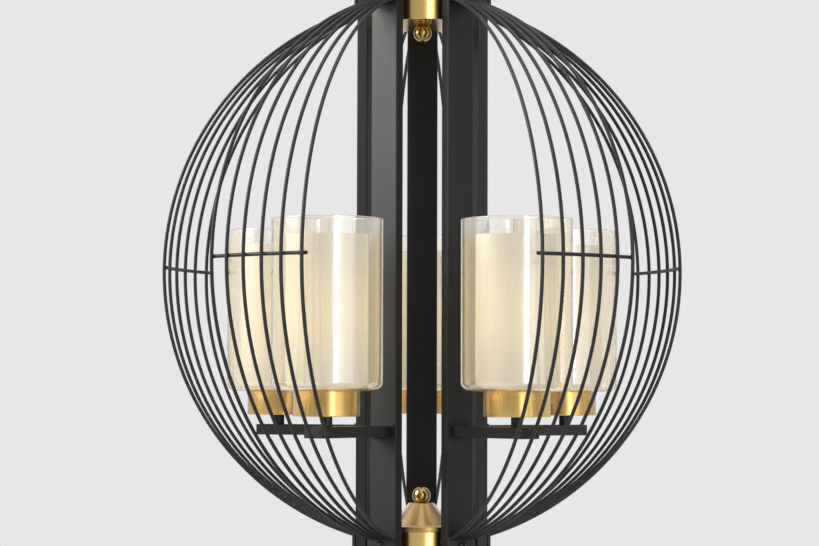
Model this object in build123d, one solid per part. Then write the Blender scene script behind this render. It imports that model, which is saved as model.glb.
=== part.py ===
from build123d import *

import os
from math import atan2, cos, degrees, pi, radians, sin, sqrt

# A pendant lamp in the manner of a Chinese lantern. Five flat black pillars stand in a ring,
# five lamps with double glass shades reach out between the pillars and the cage on arms, and
# five fans of bent wire close round them as an open globe. Brass drums hold the pillars at
# both ends of the globe, and the whole lamp hangs on a stem from a ceiling canopy.
#
# Lengths are in millimetres and angles in degrees. The origin is on the ceiling, at the
# middle of the canopy, and +Z points up, so the lamp lies below zero. Pieces that stand
# round the axis are drawn pointing along +X and are then turned to their place.

# Ring of pillars, arms and wire fans
SECTORS = 5
BACK_AZIMUTH = 90.0
FIT_GAP = 0.05
SCREW_CLEARANCE = 0.35

# Globe of wires
GLOBE_RADIUS = 296.0
WIRE_DIAMETER = 4.0
WIRE_SIDES = 8
WIRES_PER_FAN = 6
WIRE_PITCH_ANGLE = 4.7
WIRE_END_INSET = 2.5
WIRE_END_PITCH = 5.4
BAR_OVERHANG_ANGLE = 0.8
BAR_INSET = 3.6
BAR_HEIGHT = 4.0

# Pillars, flat rectangular tubes
PILLAR_HALF_HEIGHT = 390.0
PILLAR_INNER_RADIUS = 60.0
PILLAR_DEPTH = 12.5
PILLAR_WIDTH = 35.0
PILLAR_WALL = 1.5
PILLAR_EDGE = 1.2
PLUG_LENGTH = 12.0

# Bracket plates that carry the wire fans
BRACKET_WIDTH = 36.5
BRACKET_THICKNESS = 3.4
BRACKET_HEIGHT = 24.0
BRACKET_EDGE_TO_SCREW = 10.0
BRACKET_CORNER = 3.0
CAGE_SCREW_HEIGHT = 305.0

# Screws and nuts
M6_DIAMETER = 5.9
M6_HEAD_DIAMETER = 10.5
M6_HEAD_HEIGHT = 3.3
M6_SOCKET = 4.0
M6_SOCKET_DEPTH = 1.9
M6_FLUSH_HEAD_DIAMETER = 11.3
M6_FLUSH_HEAD_HEIGHT = 3.3
M6_NUT_WIDTH = 10.0
M6_NUT_HEIGHT = 5.0
M5_DIAMETER = 4.9
M5_SOCKET = 3.0
M5_FLUSH_HEAD_DIAMETER = 9.4
M5_FLUSH_HEAD_HEIGHT = 2.6
M5_GRIP = 13.0

# Arms
ARM_WIDTH = 24.0
ARM_HEIGHT = 12.0
ARM_WALL = 1.5
ARM_END_RADIUS = 195.0
ARM_TOP = -174.0
ARM_EDGE = 0.8
BASE_PLATE_WIDTH = 32.0
BASE_PLATE_HEIGHT = 15.5
BASE_PLATE_THICKNESS = 2.0
ARM_NUT_DIAMETER = 8.8
ARM_NUT_LENGTH = 8.0
CABLE_HOLE = 7.0
CABLE_HOLE_OFFSET = 8.6

# Lamp heads, measured from the middle of the globe
LAMP_RADIUS = 172.0
STEM_DIAMETER = 12.5
SPIGOT_DIAMETER = 9.9
SPIGOT_LENGTH = 11.0
CUP_BOTTOM = -163.0
CUP_DIAMETER = 72.0
CUP_HEIGHT = 27.0
CUP_WALL = 1.5
GLASS_DIAMETER = 120.0
GLASS_TOP = 47.7
GLASS_WALL = 2.5
GLASS_CORNER = 10.0
SHADE_DIAMETER = 88.0
SHADE_TOP = 29.5
SHADE_WALL = 2.5
SHADE_CORNER = 5.0
HOLDER_DIAMETER = 27.0
HOLDER_HEIGHT = 50.0
HOLDER_BORE = 14.2
HOLDER_BORE_DEPTH = 34.0
HOLDER_GLASS_GAP = 1.0
RING_DIAMETER = 42.0
RING_HEIGHT = 7.0
RING_EDGE = 1.0
BULB_CAP_DIAMETER = 13.8
BULB_CAP_LENGTH = 31.0
BULB_CAP_TIP = 2.6
BULB_CAP_TAPER = 3.5
BULB_NECK_DIAMETER = 21.0
BULB_NECK_LENGTH = 38.0
BULB_DIAMETER = 37.0
BULB_LENGTH = 90.0
BULB_SHOULDER = 7.0

# Brass drums, caps and balls at the two ends of the globe
DRUM_RADIUS = 49.0
DRUM_WALL = 1.5
DRUM_FLOOR_TO_SCREW = 27.5
UPPER_DRUM_EDGE = 1.0
CAP_HEIGHT = 24.0
CAP_TOP_RADIUS = 14.3
CAP_CONE_RADIUS = 33.0
CAP_SHOULDER_TO_SCREW = 20.0
CAP_RIM_RADIUS = 51.5
CAP_RIM_HEIGHT = 6.0
CAP_WALL = 1.5
CAP_FIT = 0.3
BALL_DIAMETER = 20.5
BALL_SEAT = 8.4
SPACER_DIAMETER = 14.0
DRUM_CABLE_HOLE_HEIGHT = 340.0

# End plates, tie rods and the knob under the lamp
PLATE_THICKNESS = 4.0
PLATE_RADIUS = 78.0
PLATE_EDGE = 0.6
ROD_DIAMETER = 9.9
ROD_BORE = 6.0
ROD_GRIP = 7.0
ROD_NUT_WIDTH = 16.0
ROD_NUT_HEIGHT = 6.0
ROD_HOLE = 10.6
KNOB_RADIUS = 15.0
KNOB_HEIGHT = 22.0
KNOB_RIM_HEIGHT = 4.0
KNOB_STEP = 2.5
KNOB_TIP_RADIUS = 3.0

# Stem, swivel and ceiling fitting
HANGING_STEM_DIAMETER = 16.0
HANGING_STEM_LENGTH = 180.0
STEM_COLLAR_RADIUS = 18.0
STEM_COLLAR_HEIGHT = 14.0
STEM_COLLAR_EDGE = 4.0
CANOPY_RADIUS = 65.0
CANOPY_HEIGHT = 32.0
CANOPY_WALL = 1.2
CANOPY_EDGE = 3.0
CANOPY_NUT_RADIUS = 13.0
CANOPY_NUT_HEIGHT = 8.0
CANOPY_NUT_EDGE = 1.0
FORK_RADIUS = 11.0
FORK_CROWN = 14.0
FORK_DEPTH = 12.0
FORK_EDGE = 0.8
EAR_THICKNESS = 4.0
EAR_WIDTH = 12.0
LINK_WIDTH = 12.0
LINK_SIDE_GAP = 0.3
PIN_SPACING = 24.0
PIN_DIAMETER = 5.0
PIN_FIT = 0.02
PIN_RUNNING_GAP = 0.05
PIN_HEAD = 0.6
BRACKET_STRIP_LENGTH = 112.0
BRACKET_STRIP_WIDTH = 24.0
BRACKET_STRIP_THICKNESS = 2.5
BRACKET_STRIP_CORNER = 4.0
CEILING_HOLE_SPACING = 88.0
CEILING_HOLE_DIAMETER = 5.0
BOSS_DIAMETER = 18.0
BOSS_HEIGHT = 8.0
TERMINAL_LENGTH = 21.0
TERMINAL_WIDTH = 16.0
TERMINAL_HEIGHT = 12.0
TERMINAL_WAYS = 3
TERMINAL_HOLE = 3.4
TERMINAL_OFFSET = 25.0
TERMINAL_EDGE = 1.0

# Heights that follow from the sizes above, from the ceiling down
canopy_nut_top = -CANOPY_HEIGHT
upper_fork_top = canopy_nut_top - CANOPY_NUT_HEIGHT
upper_pin_height = upper_fork_top - FORK_CROWN - FORK_DEPTH
lower_pin_height = upper_pin_height - PIN_SPACING
lower_fork_top = lower_pin_height - FORK_DEPTH
hanging_stem_top = lower_fork_top - FORK_CROWN
plate_top = hanging_stem_top - HANGING_STEM_LENGTH
globe_height = plate_top - PLATE_THICKNESS - PILLAR_HALF_HEIGHT

# Radii and heights that pieces share
pillar_outer_radius = PILLAR_INNER_RADIUS + PILLAR_DEPTH
pillar_middle_radius = PILLAR_INNER_RADIUS + PILLAR_DEPTH / 2
bracket_outer_radius = pillar_outer_radius + BRACKET_THICKNESS
drum_inner_radius = DRUM_RADIUS - DRUM_WALL
arm_middle = ARM_TOP - ARM_HEIGHT / 2
base_plate_outer_radius = pillar_outer_radius + BASE_PLATE_THICKNESS
glass_floor = CUP_BOTTOM + CUP_HEIGHT
shade_floor = glass_floor + GLASS_WALL
ring_floor = shade_floor + SHADE_WALL
holder_floor = CUP_BOTTOM + CUP_WALL
holder_top = holder_floor + HOLDER_HEIGHT
bracket_start = CAGE_SCREW_HEIGHT - BRACKET_EDGE_TO_SCREW
wire_end_height = bracket_start + WIRE_END_INSET
upper_drum_floor = CAGE_SCREW_HEIGHT - DRUM_FLOOR_TO_SCREW
cap_shoulder = CAP_SHOULDER_TO_SCREW - CAGE_SCREW_HEIGHT
cap_top = cap_shoulder + CAP_HEIGHT
cap_underside = cap_shoulder - CAP_WALL

azimuths = [BACK_AZIMUTH + 360 / SECTORS * place for place in range(SECTORS)]
os.makedirs("parts", exist_ok=True)


def write(name, shape):
    """Write one piece, or one group of equal pieces, as its own file."""
    export_step(shape, f"parts/{name}.step")


def turned(points):
    """Revolve a closed outline of (radius, height) points round the vertical axis."""
    outline = Polyline(*[(radius, 0, height) for radius, height in points], close=True)
    return revolve(make_face(outline), Axis.Z)


def upright(radius, bottom, top):
    """A round bar round the vertical axis between two heights."""
    return Pos(0, 0, bottom) * Cylinder(
        radius, top - bottom, align=(Align.CENTER, Align.CENTER, Align.MIN)
    )


def radial(radius, start, end, height, offset=0.0):
    """A round bar along +X between two distances from the axis."""
    bar = Cylinder(radius, end - start, align=(Align.CENTER, Align.CENTER, Align.MIN))
    return Pos(start, offset, height) * Rot(0, 90, 0) * bar


def block(x_from, x_to, width, z_from, z_to):
    """A block along +X, as wide on both sides of the XZ plane."""
    size = Box(x_to - x_from, width, z_to - z_from)
    return Pos((x_from + x_to) / 2, 0, (z_from + z_to) / 2) * size


def hexagon(width, bottom, top):
    """A hexagonal prism round the vertical axis, width across its flats."""
    outline = RegularPolygon(width / 2, 6, major_radius=False)
    return Pos(0, 0, bottom) * extrude(outline, top - bottom)


def ring_of(shape, height=0.0):
    """One copy of a radial piece in each sector, raised to a height."""
    return [Pos(0, 0, height) * Rot(0, 0, azimuth) * shape for azimuth in azimuths]


def write_each(name, shape):
    """Write the copies of a radial piece as separate nodes, numbered from the back."""
    for number, copy in enumerate(ring_of(shape, globe_height), start=1):
        write(f"{name}_{number}", copy)


def write_group(name, shapes):
    """Write the copies of small pieces as one node of separate solids."""
    solids = [solid for shape in shapes for solid in shape.solids()]
    write(name, Compound(children=solids))


def pillar():
    """A rectangular tube with plugged ends and holes for screws and cables."""
    height = 2 * PILLAR_HALF_HEIGHT
    outside = block(
        PILLAR_INNER_RADIUS, pillar_outer_radius, PILLAR_WIDTH, -height / 2, height / 2
    )
    outside = fillet(outside.edges().filter_by(Axis.Z), PILLAR_EDGE)
    inside = block(
        PILLAR_INNER_RADIUS + PILLAR_WALL,
        pillar_outer_radius - PILLAR_WALL,
        PILLAR_WIDTH - 2 * PILLAR_WALL,
        -height / 2 + PLUG_LENGTH,
        height / 2 - PLUG_LENGTH,
    )
    tube = outside - inside
    screw_hole = M6_DIAMETER / 2 + SCREW_CLEARANCE
    for screw in (-CAGE_SCREW_HEIGHT, CAGE_SCREW_HEIGHT):
        tube -= radial(screw_hole, PILLAR_INNER_RADIUS - 1, pillar_outer_radius + 1, screw)
    tube -= at_arm_screw(
        countersink(M6_DIAMETER, M6_FLUSH_HEAD_DIAMETER, M6_FLUSH_HEAD_HEIGHT, PILLAR_DEPTH + 1)
    )
    tube -= radial(
        CABLE_HOLE / 2, pillar_middle_radius, pillar_outer_radius + 1, arm_middle, CABLE_HOLE_OFFSET
    )
    tube -= radial(
        CABLE_HOLE / 2, PILLAR_INNER_RADIUS - 1, pillar_middle_radius, DRUM_CABLE_HOLE_HEIGHT
    )
    tapped = M5_DIAMETER / 2 + FIT_GAP
    for end in (-height / 2, height / 2 - M5_GRIP):
        tube -= Pos(pillar_middle_radius, 0, 0) * upright(tapped, end, end + M5_GRIP)
    return tube


def at_arm_screw(shape):
    """Turn a screw or its hole outward through a pillar, from the pillar's inner face."""
    return Pos(PILLAR_INNER_RADIUS, 0, arm_middle) * Rot(0, -90, 0) * shape


def bent_wire(number):
    """One wire of a fan: an arc from the lower bracket over the equator to the upper one."""
    place = number - (WIRES_PER_FAN - 1) / 2
    angle = radians(place * WIRE_PITCH_ANGLE)
    equator = Vector(GLOBE_RADIUS * cos(angle), GLOBE_RADIUS * sin(angle), 0)
    foot = Vector(pillar_outer_radius + BRACKET_THICKNESS / 2, place * WIRE_END_PITCH, 0)
    bulge = (equator - foot).length
    outward = (equator - foot).normalized()
    arc_radius = (wire_end_height**2 + bulge**2) / (2 * bulge)
    half_angle = degrees(atan2(wire_end_height, arc_radius - bulge))
    bend_axis = Axis(equator - outward * arc_radius, outward.cross(Vector(0, 0, 1)))
    section = Plane(equator, x_dir=outward, z_dir=(0, 0, 1)) * wire_section()
    return revolve(section.rotate(bend_axis, -half_angle), bend_axis, 2 * half_angle)


def wire_section():
    """The wire's section: a polygon of as much area as the round wire."""
    sector_angle = 2 * pi / WIRE_SIDES
    corner_radius = WIRE_DIAMETER / 2 * sqrt(sector_angle / sin(sector_angle))
    return RegularPolygon(corner_radius, WIRE_SIDES)


def bracket_plate():
    """The plate at the upper end of a fan, with its screw hole."""
    plate = block(
        pillar_outer_radius,
        bracket_outer_radius,
        BRACKET_WIDTH,
        bracket_start,
        bracket_start + BRACKET_HEIGHT,
    )
    far_corners = plate.edges().filter_by(Axis.X).group_by(Axis.Z)[-1]
    plate = fillet(far_corners, BRACKET_CORNER)
    hole = M6_DIAMETER / 2 + SCREW_CLEARANCE
    return plate - radial(hole, pillar_outer_radius - 1, bracket_outer_radius + 1, CAGE_SCREW_HEIGHT)


def cage_panel():
    """A fan of wires with its equator bar and two bracket plates, welded together."""
    half_span = WIRE_PITCH_ANGLE * (WIRES_PER_FAN - 1) / 2 + BAR_OVERHANG_ANGLE
    bar_radius = GLOBE_RADIUS - BAR_INSET
    section = Plane((bar_radius, 0, 0), x_dir=(1, 0, 0), z_dir=(0, 1, 0)) * wire_section()
    bar = revolve(section.rotate(Axis.Z, -half_span), Axis.Z, 2 * half_span)
    bar = Pos(0, 0, BAR_HEIGHT) * bar
    upper_plate = bracket_plate()
    lower_plate = mirror(upper_plate, Plane.XY)
    wires = [bent_wire(number) for number in range(WIRES_PER_FAN)]
    return bar + wires + upper_plate + lower_plate


def button_screw(seat, tip, height):
    """An M6 button-head screw along the radius, its head outside the seat."""
    top = seat + M6_HEAD_HEIGHT
    half = M6_HEAD_DIAMETER / 2
    head = turned(
        [
            (0, seat),
            (half, seat),
            (half, seat + 0.3 * M6_HEAD_HEIGHT),
            (0.85 * half, seat + 0.75 * M6_HEAD_HEIGHT),
            (0.6 * half, top),
            (0, top),
        ]
    )
    head -= hexagon(M6_SOCKET, top - M6_SOCKET_DEPTH, top + 1)
    screw = head + upright(M6_DIAMETER / 2, tip, seat)
    return Pos(0, 0, height) * Rot(0, 90, 0) * screw


def flush_screw(diameter, head_diameter, head_height, socket, length):
    """A countersunk screw that points down from the origin, its head flush with z = 0."""
    head = head_diameter / 2
    shank = diameter / 2
    screw = turned([(0, 0), (head, 0), (shank, -head_height), (shank, -length), (0, -length)])
    return screw - hexagon(socket, -0.7 * head_height, 1)


def countersink(diameter, head_diameter, head_height, depth):
    """The hole for a flush screw, down from the origin."""
    head = head_diameter / 2 + FIT_GAP
    hole = diameter / 2 + SCREW_CLEARANCE
    neck = -head_height + SCREW_CLEARANCE
    return turned([(0, 1), (head, 1), (head, 0), (hole, neck), (hole, -depth), (0, -depth)])


def nut_seat(inner_radius, nut_width):
    """How far out a flat nut sits inside a round wall, stopped by its corners."""
    corner = nut_width / sqrt(3)
    return sqrt(inner_radius**2 - corner**2) - FIT_GAP


def drum_nut(height):
    """An M6 nut inside a drum wall, on the radius."""
    seat = nut_seat(drum_inner_radius, M6_NUT_WIDTH)
    nut = hexagon(M6_NUT_WIDTH, seat - M6_NUT_HEIGHT, seat)
    nut -= upright(M6_DIAMETER / 2 + FIT_GAP, seat - M6_NUT_HEIGHT - 1, seat + 1)
    return Pos(0, 0, height) * Rot(0, 90, 0) * nut


def drum_spacer(height):
    """A sleeve between a drum and a pillar, hollowed at one end to fit the drum."""
    sleeve = radial(SPACER_DIAMETER / 2, DRUM_RADIUS - 3, PILLAR_INNER_RADIUS, height)
    sleeve -= radial(
        M6_DIAMETER / 2 + SCREW_CLEARANCE, DRUM_RADIUS - 4, PILLAR_INNER_RADIUS + 1, height
    )
    return sleeve - upright(DRUM_RADIUS + PIN_FIT, height - SPACER_DIAMETER, height + SPACER_DIAMETER)


def arm():
    """A flat tube with a closed tip, its base plate and the nut welded inside it."""
    outside = block(
        base_plate_outer_radius, ARM_END_RADIUS, ARM_WIDTH, ARM_TOP - ARM_HEIGHT, ARM_TOP
    )
    outside = fillet(outside.edges().filter_by(Axis.X), ARM_EDGE)
    inside = block(
        base_plate_outer_radius,
        ARM_END_RADIUS - ARM_WALL,
        ARM_WIDTH - 2 * ARM_WALL,
        ARM_TOP - ARM_HEIGHT + ARM_WALL,
        ARM_TOP - ARM_WALL,
    )
    plate = block(
        pillar_outer_radius,
        base_plate_outer_radius,
        BASE_PLATE_WIDTH,
        arm_middle - BASE_PLATE_HEIGHT / 2,
        arm_middle + BASE_PLATE_HEIGHT / 2,
    )
    nut_end = base_plate_outer_radius + ARM_NUT_LENGTH
    nut = radial(ARM_NUT_DIAMETER / 2, base_plate_outer_radius, nut_end, arm_middle)
    body = outside - inside + plate + nut
    body -= radial(M6_DIAMETER / 2 + FIT_GAP, pillar_outer_radius - 1, nut_end + 1, arm_middle)
    body -= radial(
        CABLE_HOLE / 2,
        pillar_outer_radius - 1,
        base_plate_outer_radius + 1,
        arm_middle,
        CABLE_HOLE_OFFSET,
    )
    spigot_hole = upright(SPIGOT_DIAMETER / 2 + FIT_GAP, ARM_TOP - 2 * ARM_WALL, ARM_TOP + 1)
    return body - Pos(LAMP_RADIUS, 0, 0) * spigot_hole


def lamp_stem():
    """The short black stem between an arm and its cup, threaded at both ends."""
    spigot = SPIGOT_DIAMETER / 2
    foot = ARM_TOP - 2 * ARM_WALL - 1
    body = upright(STEM_DIAMETER / 2, ARM_TOP, CUP_BOTTOM)
    body += upright(spigot, foot, ARM_TOP)
    body += upright(spigot, CUP_BOTTOM, CUP_BOTTOM + SPIGOT_LENGTH)
    return body - upright(ROD_BORE / 2, foot - 1, CUP_BOTTOM + SPIGOT_LENGTH + 1)


def cup():
    """The brass cup that the glasses stand on, open at the top."""
    radius = CUP_DIAMETER / 2
    top = CUP_BOTTOM + CUP_HEIGHT
    shell = upright(radius, CUP_BOTTOM, top)
    shell -= upright(radius - CUP_WALL, CUP_BOTTOM + CUP_WALL, top + 1)
    return shell - upright(SPIGOT_DIAMETER / 2 + SCREW_CLEARANCE, CUP_BOTTOM - 1, holder_floor + 1)


def open_glass(radius, corner, wall, floor, top):
    """A straight glass with a rounded foot and a round hole in its floor."""
    hole = HOLDER_DIAMETER / 2 + HOLDER_GLASS_GAP
    inner = radius - wall
    knee = radius - corner
    outline = Polyline((knee, floor), (hole, floor), (hole, floor + wall), (knee, floor + wall))
    outline += RadiusArc((knee, floor + wall), (inner, floor + corner), -(corner - wall))
    outline += Polyline(
        (inner, floor + corner), (inner, top), (radius, top), (radius, floor + corner)
    )
    outline += RadiusArc((radius, floor + corner), (knee, floor), corner)
    return revolve(Plane.XZ * make_face(outline), Axis.Z)


def lamp_holder():
    """A straight lamp holder, threaded outside for the shade ring."""
    radius = HOLDER_DIAMETER / 2
    body = upright(radius, holder_floor, holder_top)
    body -= upright(HOLDER_BORE / 2, holder_top - HOLDER_BORE_DEPTH, holder_top + 1)
    nipple_depth = SPIGOT_LENGTH - CUP_WALL + 0.5
    return body - upright(SPIGOT_DIAMETER / 2 + FIT_GAP, holder_floor - 1, holder_floor + nipple_depth)


def shade_ring():
    """The ring that clamps both glasses down on the cup."""
    ring = upright(RING_DIAMETER / 2, ring_floor, ring_floor + RING_HEIGHT)
    ring = chamfer(ring.edges().group_by(Axis.Z)[-1], RING_EDGE)
    return ring - upright(HOLDER_DIAMETER / 2 + FIT_GAP, ring_floor - 1, ring_floor + RING_HEIGHT + 1)


def bulb():
    """A screw-in bulb with a tapered neck under a straight body."""
    foot = holder_top + CAP_FIT
    cap = BULB_CAP_DIAMETER / 2
    tip = foot - BULB_CAP_LENGTH
    radius = BULB_DIAMETER / 2
    top = foot + BULB_LENGTH
    return turned(
        [
            (0, tip),
            (BULB_CAP_TIP, tip),
            (cap, tip + BULB_CAP_TAPER),
            (cap, foot),
            (BULB_NECK_DIAMETER / 2, foot),
            (radius, foot + BULB_NECK_LENGTH),
            (radius, top - BULB_SHOULDER),
            (radius - BULB_SHOULDER, top),
            (0, top),
        ]
    )


def upper_drum():
    """A brass can that hangs open end up under the top plate."""
    can = upright(DRUM_RADIUS, upper_drum_floor, PILLAR_HALF_HEIGHT)
    can = fillet(can.edges().group_by(Axis.Z)[0], UPPER_DRUM_EDGE)
    can -= upright(drum_inner_radius, upper_drum_floor + DRUM_WALL, PILLAR_HALF_HEIGHT + 1)
    can -= upright(ROD_HOLE / 2, upper_drum_floor - 1, upper_drum_floor + DRUM_WALL + 1)
    can = drilled(can, CAGE_SCREW_HEIGHT, M6_DIAMETER / 2 + SCREW_CLEARANCE)
    return drilled(can, DRUM_CABLE_HOLE_HEIGHT, CABLE_HOLE / 2)


def lower_drum():
    """A brass tube that stands on the bottom plate under its cap."""
    tube = upright(DRUM_RADIUS, -PILLAR_HALF_HEIGHT, cap_underside)
    tube -= upright(drum_inner_radius, -PILLAR_HALF_HEIGHT - 1, cap_underside + 1)
    return drilled(tube, -CAGE_SCREW_HEIGHT, M6_DIAMETER / 2 + SCREW_CLEARANCE)


def drilled(shell, height, radius):
    """A drum with a ring of holes, one to each pillar."""
    for azimuth in azimuths:
        shell -= Rot(0, 0, azimuth) * radial(radius, DRUM_RADIUS - 4, DRUM_RADIUS + 1, height)
    return shell


def lower_cap():
    """The spun brass cap of the lower drum: a cone on a flat shoulder with a rim."""
    hole = ROD_HOLE / 2
    rim_foot = cap_shoulder - CAP_RIM_HEIGHT
    rim_inside = DRUM_RADIUS + CAP_FIT
    return turned(
        [
            (hole, cap_top),
            (CAP_TOP_RADIUS, cap_top),
            (CAP_CONE_RADIUS, cap_shoulder),
            (CAP_RIM_RADIUS, cap_shoulder),
            (CAP_RIM_RADIUS, rim_foot),
            (rim_inside, rim_foot),
            (rim_inside, cap_underside),
            (CAP_CONE_RADIUS - CAP_WALL / 2, cap_underside),
            (CAP_TOP_RADIUS - CAP_WALL / 2, cap_top - CAP_WALL),
            (hole, cap_top - CAP_WALL),
        ]
    )


def ball_nut(seat, side):
    """A brass ball cut flat where it sits, tapped for a rod. side is the way it points."""
    radius = BALL_DIAMETER / 2
    ball = Pos(0, 0, seat + side * BALL_SEAT) * Sphere(radius)
    far = seat + side * 2 * BALL_DIAMETER
    ball &= upright(BALL_DIAMETER, min(seat, far), max(seat, far))
    grip = seat + side * (ROD_GRIP + 0.5)
    return ball - upright(ROD_DIAMETER / 2 + FIT_GAP, min(seat, grip), max(seat, grip))


def end_plate():
    """A round plate across the pillars' ends, countersunk from its upper side."""
    plate = upright(PLATE_RADIUS, 0, PLATE_THICKNESS)
    plate = chamfer(plate.edges().filter_by(GeomType.CIRCLE), PLATE_EDGE)
    plate -= upright(ROD_HOLE / 2, -1, PLATE_THICKNESS + 1)
    hole = countersink(M5_DIAMETER, M5_FLUSH_HEAD_DIAMETER, M5_FLUSH_HEAD_HEIGHT, PLATE_THICKNESS + 1)
    for azimuth in azimuths:
        plate -= Rot(0, 0, azimuth) * Pos(pillar_middle_radius, 0, PLATE_THICKNESS) * hole
    return plate


def plate_screw():
    """A countersunk M5 screw through an end plate into a pillar's plug."""
    length = PLATE_THICKNESS + M5_GRIP - 1
    screw = flush_screw(M5_DIAMETER, M5_FLUSH_HEAD_DIAMETER, M5_FLUSH_HEAD_HEIGHT, M5_SOCKET, length)
    return Pos(pillar_middle_radius, 0, PLATE_THICKNESS) * screw


def rod_nut(bottom, top):
    """A hexagon nut on a tie rod."""
    nut = hexagon(ROD_NUT_WIDTH, bottom, top)
    return nut - upright(ROD_DIAMETER / 2 + FIT_GAP, bottom - 1, top + 1)


def knob():
    """The brass knob that closes the lower end of the lamp."""
    top = -PILLAR_HALF_HEIGHT - PLATE_THICKNESS
    foot = top - KNOB_HEIGHT
    neck = top - KNOB_RIM_HEIGHT
    waist_radius = KNOB_RADIUS - KNOB_STEP
    outline = Polyline(
        (0, foot), (0, top), (KNOB_RADIUS, top), (KNOB_RADIUS, neck), (waist_radius, neck - KNOB_STEP)
    )
    outline += RadiusArc(
        (waist_radius, neck - KNOB_STEP), (KNOB_TIP_RADIUS, foot), KNOB_HEIGHT - KNOB_RIM_HEIGHT
    )
    outline += Line((KNOB_TIP_RADIUS, foot), (0, foot))
    body = revolve(Plane.XZ * make_face(outline), Axis.Z)
    return body - upright(ROD_DIAMETER / 2 + FIT_GAP, top - ROD_GRIP - 2, top + 1)


def fork(crown_top, crown_bottom, pin_height):
    """A swivel fork with its ears towards the pin, whose axis runs along X."""
    ear_inner = LINK_WIDTH / 2 + LINK_SIDE_GAP
    ear_outer = ear_inner + EAR_THICKNESS
    near = crown_bottom if pin_height < crown_bottom else crown_top
    low = min(near, pin_height)
    high = max(near, pin_height)
    crown = upright(FORK_RADIUS, crown_bottom, crown_top)
    crown = chamfer(crown.edges().filter_by(GeomType.CIRCLE), FORK_EDGE)
    body = crown
    for side in (-1, 1):
        middle = side * (ear_inner + ear_outer) / 2
        ear = Pos(middle, 0, (low + high) / 2) * Box(EAR_THICKNESS, EAR_WIDTH, high - low)
        eye = Pos(middle, 0, pin_height) * Rot(0, 90, 0) * Cylinder(EAR_WIDTH / 2, EAR_THICKNESS)
        body += ear + eye
    bore = PIN_DIAMETER / 2 + PIN_FIT
    return body - Pos(0, 0, pin_height) * Rot(0, 90, 0) * Cylinder(bore, 2 * ear_outer + 2)


def swivel_link():
    """The block between the two forks, with crossed bores for the two pins."""
    half = LINK_WIDTH / 2
    body = Pos(0, 0, (upper_pin_height + lower_pin_height) / 2) * Box(
        LINK_WIDTH, LINK_WIDTH, PIN_SPACING
    )
    body += Pos(0, 0, upper_pin_height) * Rot(0, 90, 0) * Cylinder(half, LINK_WIDTH)
    body += Pos(0, 0, lower_pin_height) * Rot(90, 0, 0) * Cylinder(half, LINK_WIDTH)
    bore = PIN_DIAMETER / 2 + PIN_RUNNING_GAP
    body -= Pos(0, 0, upper_pin_height) * Rot(0, 90, 0) * Cylinder(bore, 2 * LINK_WIDTH)
    return body - Pos(0, 0, lower_pin_height) * Rot(90, 0, 0) * Cylinder(bore, 2 * LINK_WIDTH)


def swivel_pin(height, turn):
    """A plain pin through a fork and the link, proud of the ears by its rounded heads."""
    length = 2 * (LINK_WIDTH / 2 + LINK_SIDE_GAP + EAR_THICKNESS + PIN_HEAD)
    pin = Cylinder(PIN_DIAMETER / 2, length)
    pin = chamfer(pin.edges().filter_by(GeomType.CIRCLE), PIN_HEAD / 2)
    return Pos(0, 0, height) * turn * pin


def canopy():
    """The flat round ceiling cover, open towards the ceiling."""
    inner = CANOPY_RADIUS - CANOPY_WALL
    bottom = -CANOPY_HEIGHT
    floor = bottom + CANOPY_WALL
    hole = ROD_HOLE / 2
    return turned(
        [
            (hole, floor),
            (hole, bottom),
            (CANOPY_RADIUS - CANOPY_EDGE, bottom),
            (CANOPY_RADIUS, bottom + CANOPY_EDGE),
            (CANOPY_RADIUS, 0),
            (inner, 0),
            (inner, bottom + CANOPY_EDGE),
            (CANOPY_RADIUS - CANOPY_EDGE, floor),
        ]
    )


def ceiling_bracket():
    """The steel strip that is screwed to the ceiling, with a tapped boss in its middle."""
    thick = BRACKET_STRIP_THICKNESS
    strip = Pos(0, 0, -thick / 2) * Box(BRACKET_STRIP_LENGTH, BRACKET_STRIP_WIDTH, thick)
    strip = fillet(strip.edges().filter_by(Axis.Z), BRACKET_STRIP_CORNER)
    strip += upright(BOSS_DIAMETER / 2, -thick - BOSS_HEIGHT, -thick)
    strip -= upright(ROD_DIAMETER / 2 + FIT_GAP, -thick - BOSS_HEIGHT - 1, 1)
    for side in (-1, 1):
        hole = upright(CEILING_HOLE_DIAMETER / 2, -thick - 1, 1)
        strip -= Pos(side * CEILING_HOLE_SPACING / 2, 0, 0) * hole
    return strip


def terminal_block():
    """A three-way terminal block under the ceiling bracket."""
    top = -BRACKET_STRIP_THICKNESS
    body = Pos(TERMINAL_OFFSET, 0, top - TERMINAL_HEIGHT / 2) * Box(
        TERMINAL_WIDTH, TERMINAL_LENGTH, TERMINAL_HEIGHT
    )
    body = fillet(body.edges().filter_by(Axis.Z), TERMINAL_EDGE)
    pitch = TERMINAL_LENGTH / TERMINAL_WAYS
    for way in range(TERMINAL_WAYS):
        across = (way - (TERMINAL_WAYS - 1) / 2) * pitch
        entry = Pos(TERMINAL_OFFSET, across, top - TERMINAL_HEIGHT * 0.4) * Rot(0, 90, 0)
        body -= entry * Cylinder(TERMINAL_HOLE / 2, TERMINAL_WIDTH + 2)
    return body


def at_globe(shape):
    """Lower a piece that is measured from the globe's middle to its place."""
    return Pos(0, 0, globe_height) * shape


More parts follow.
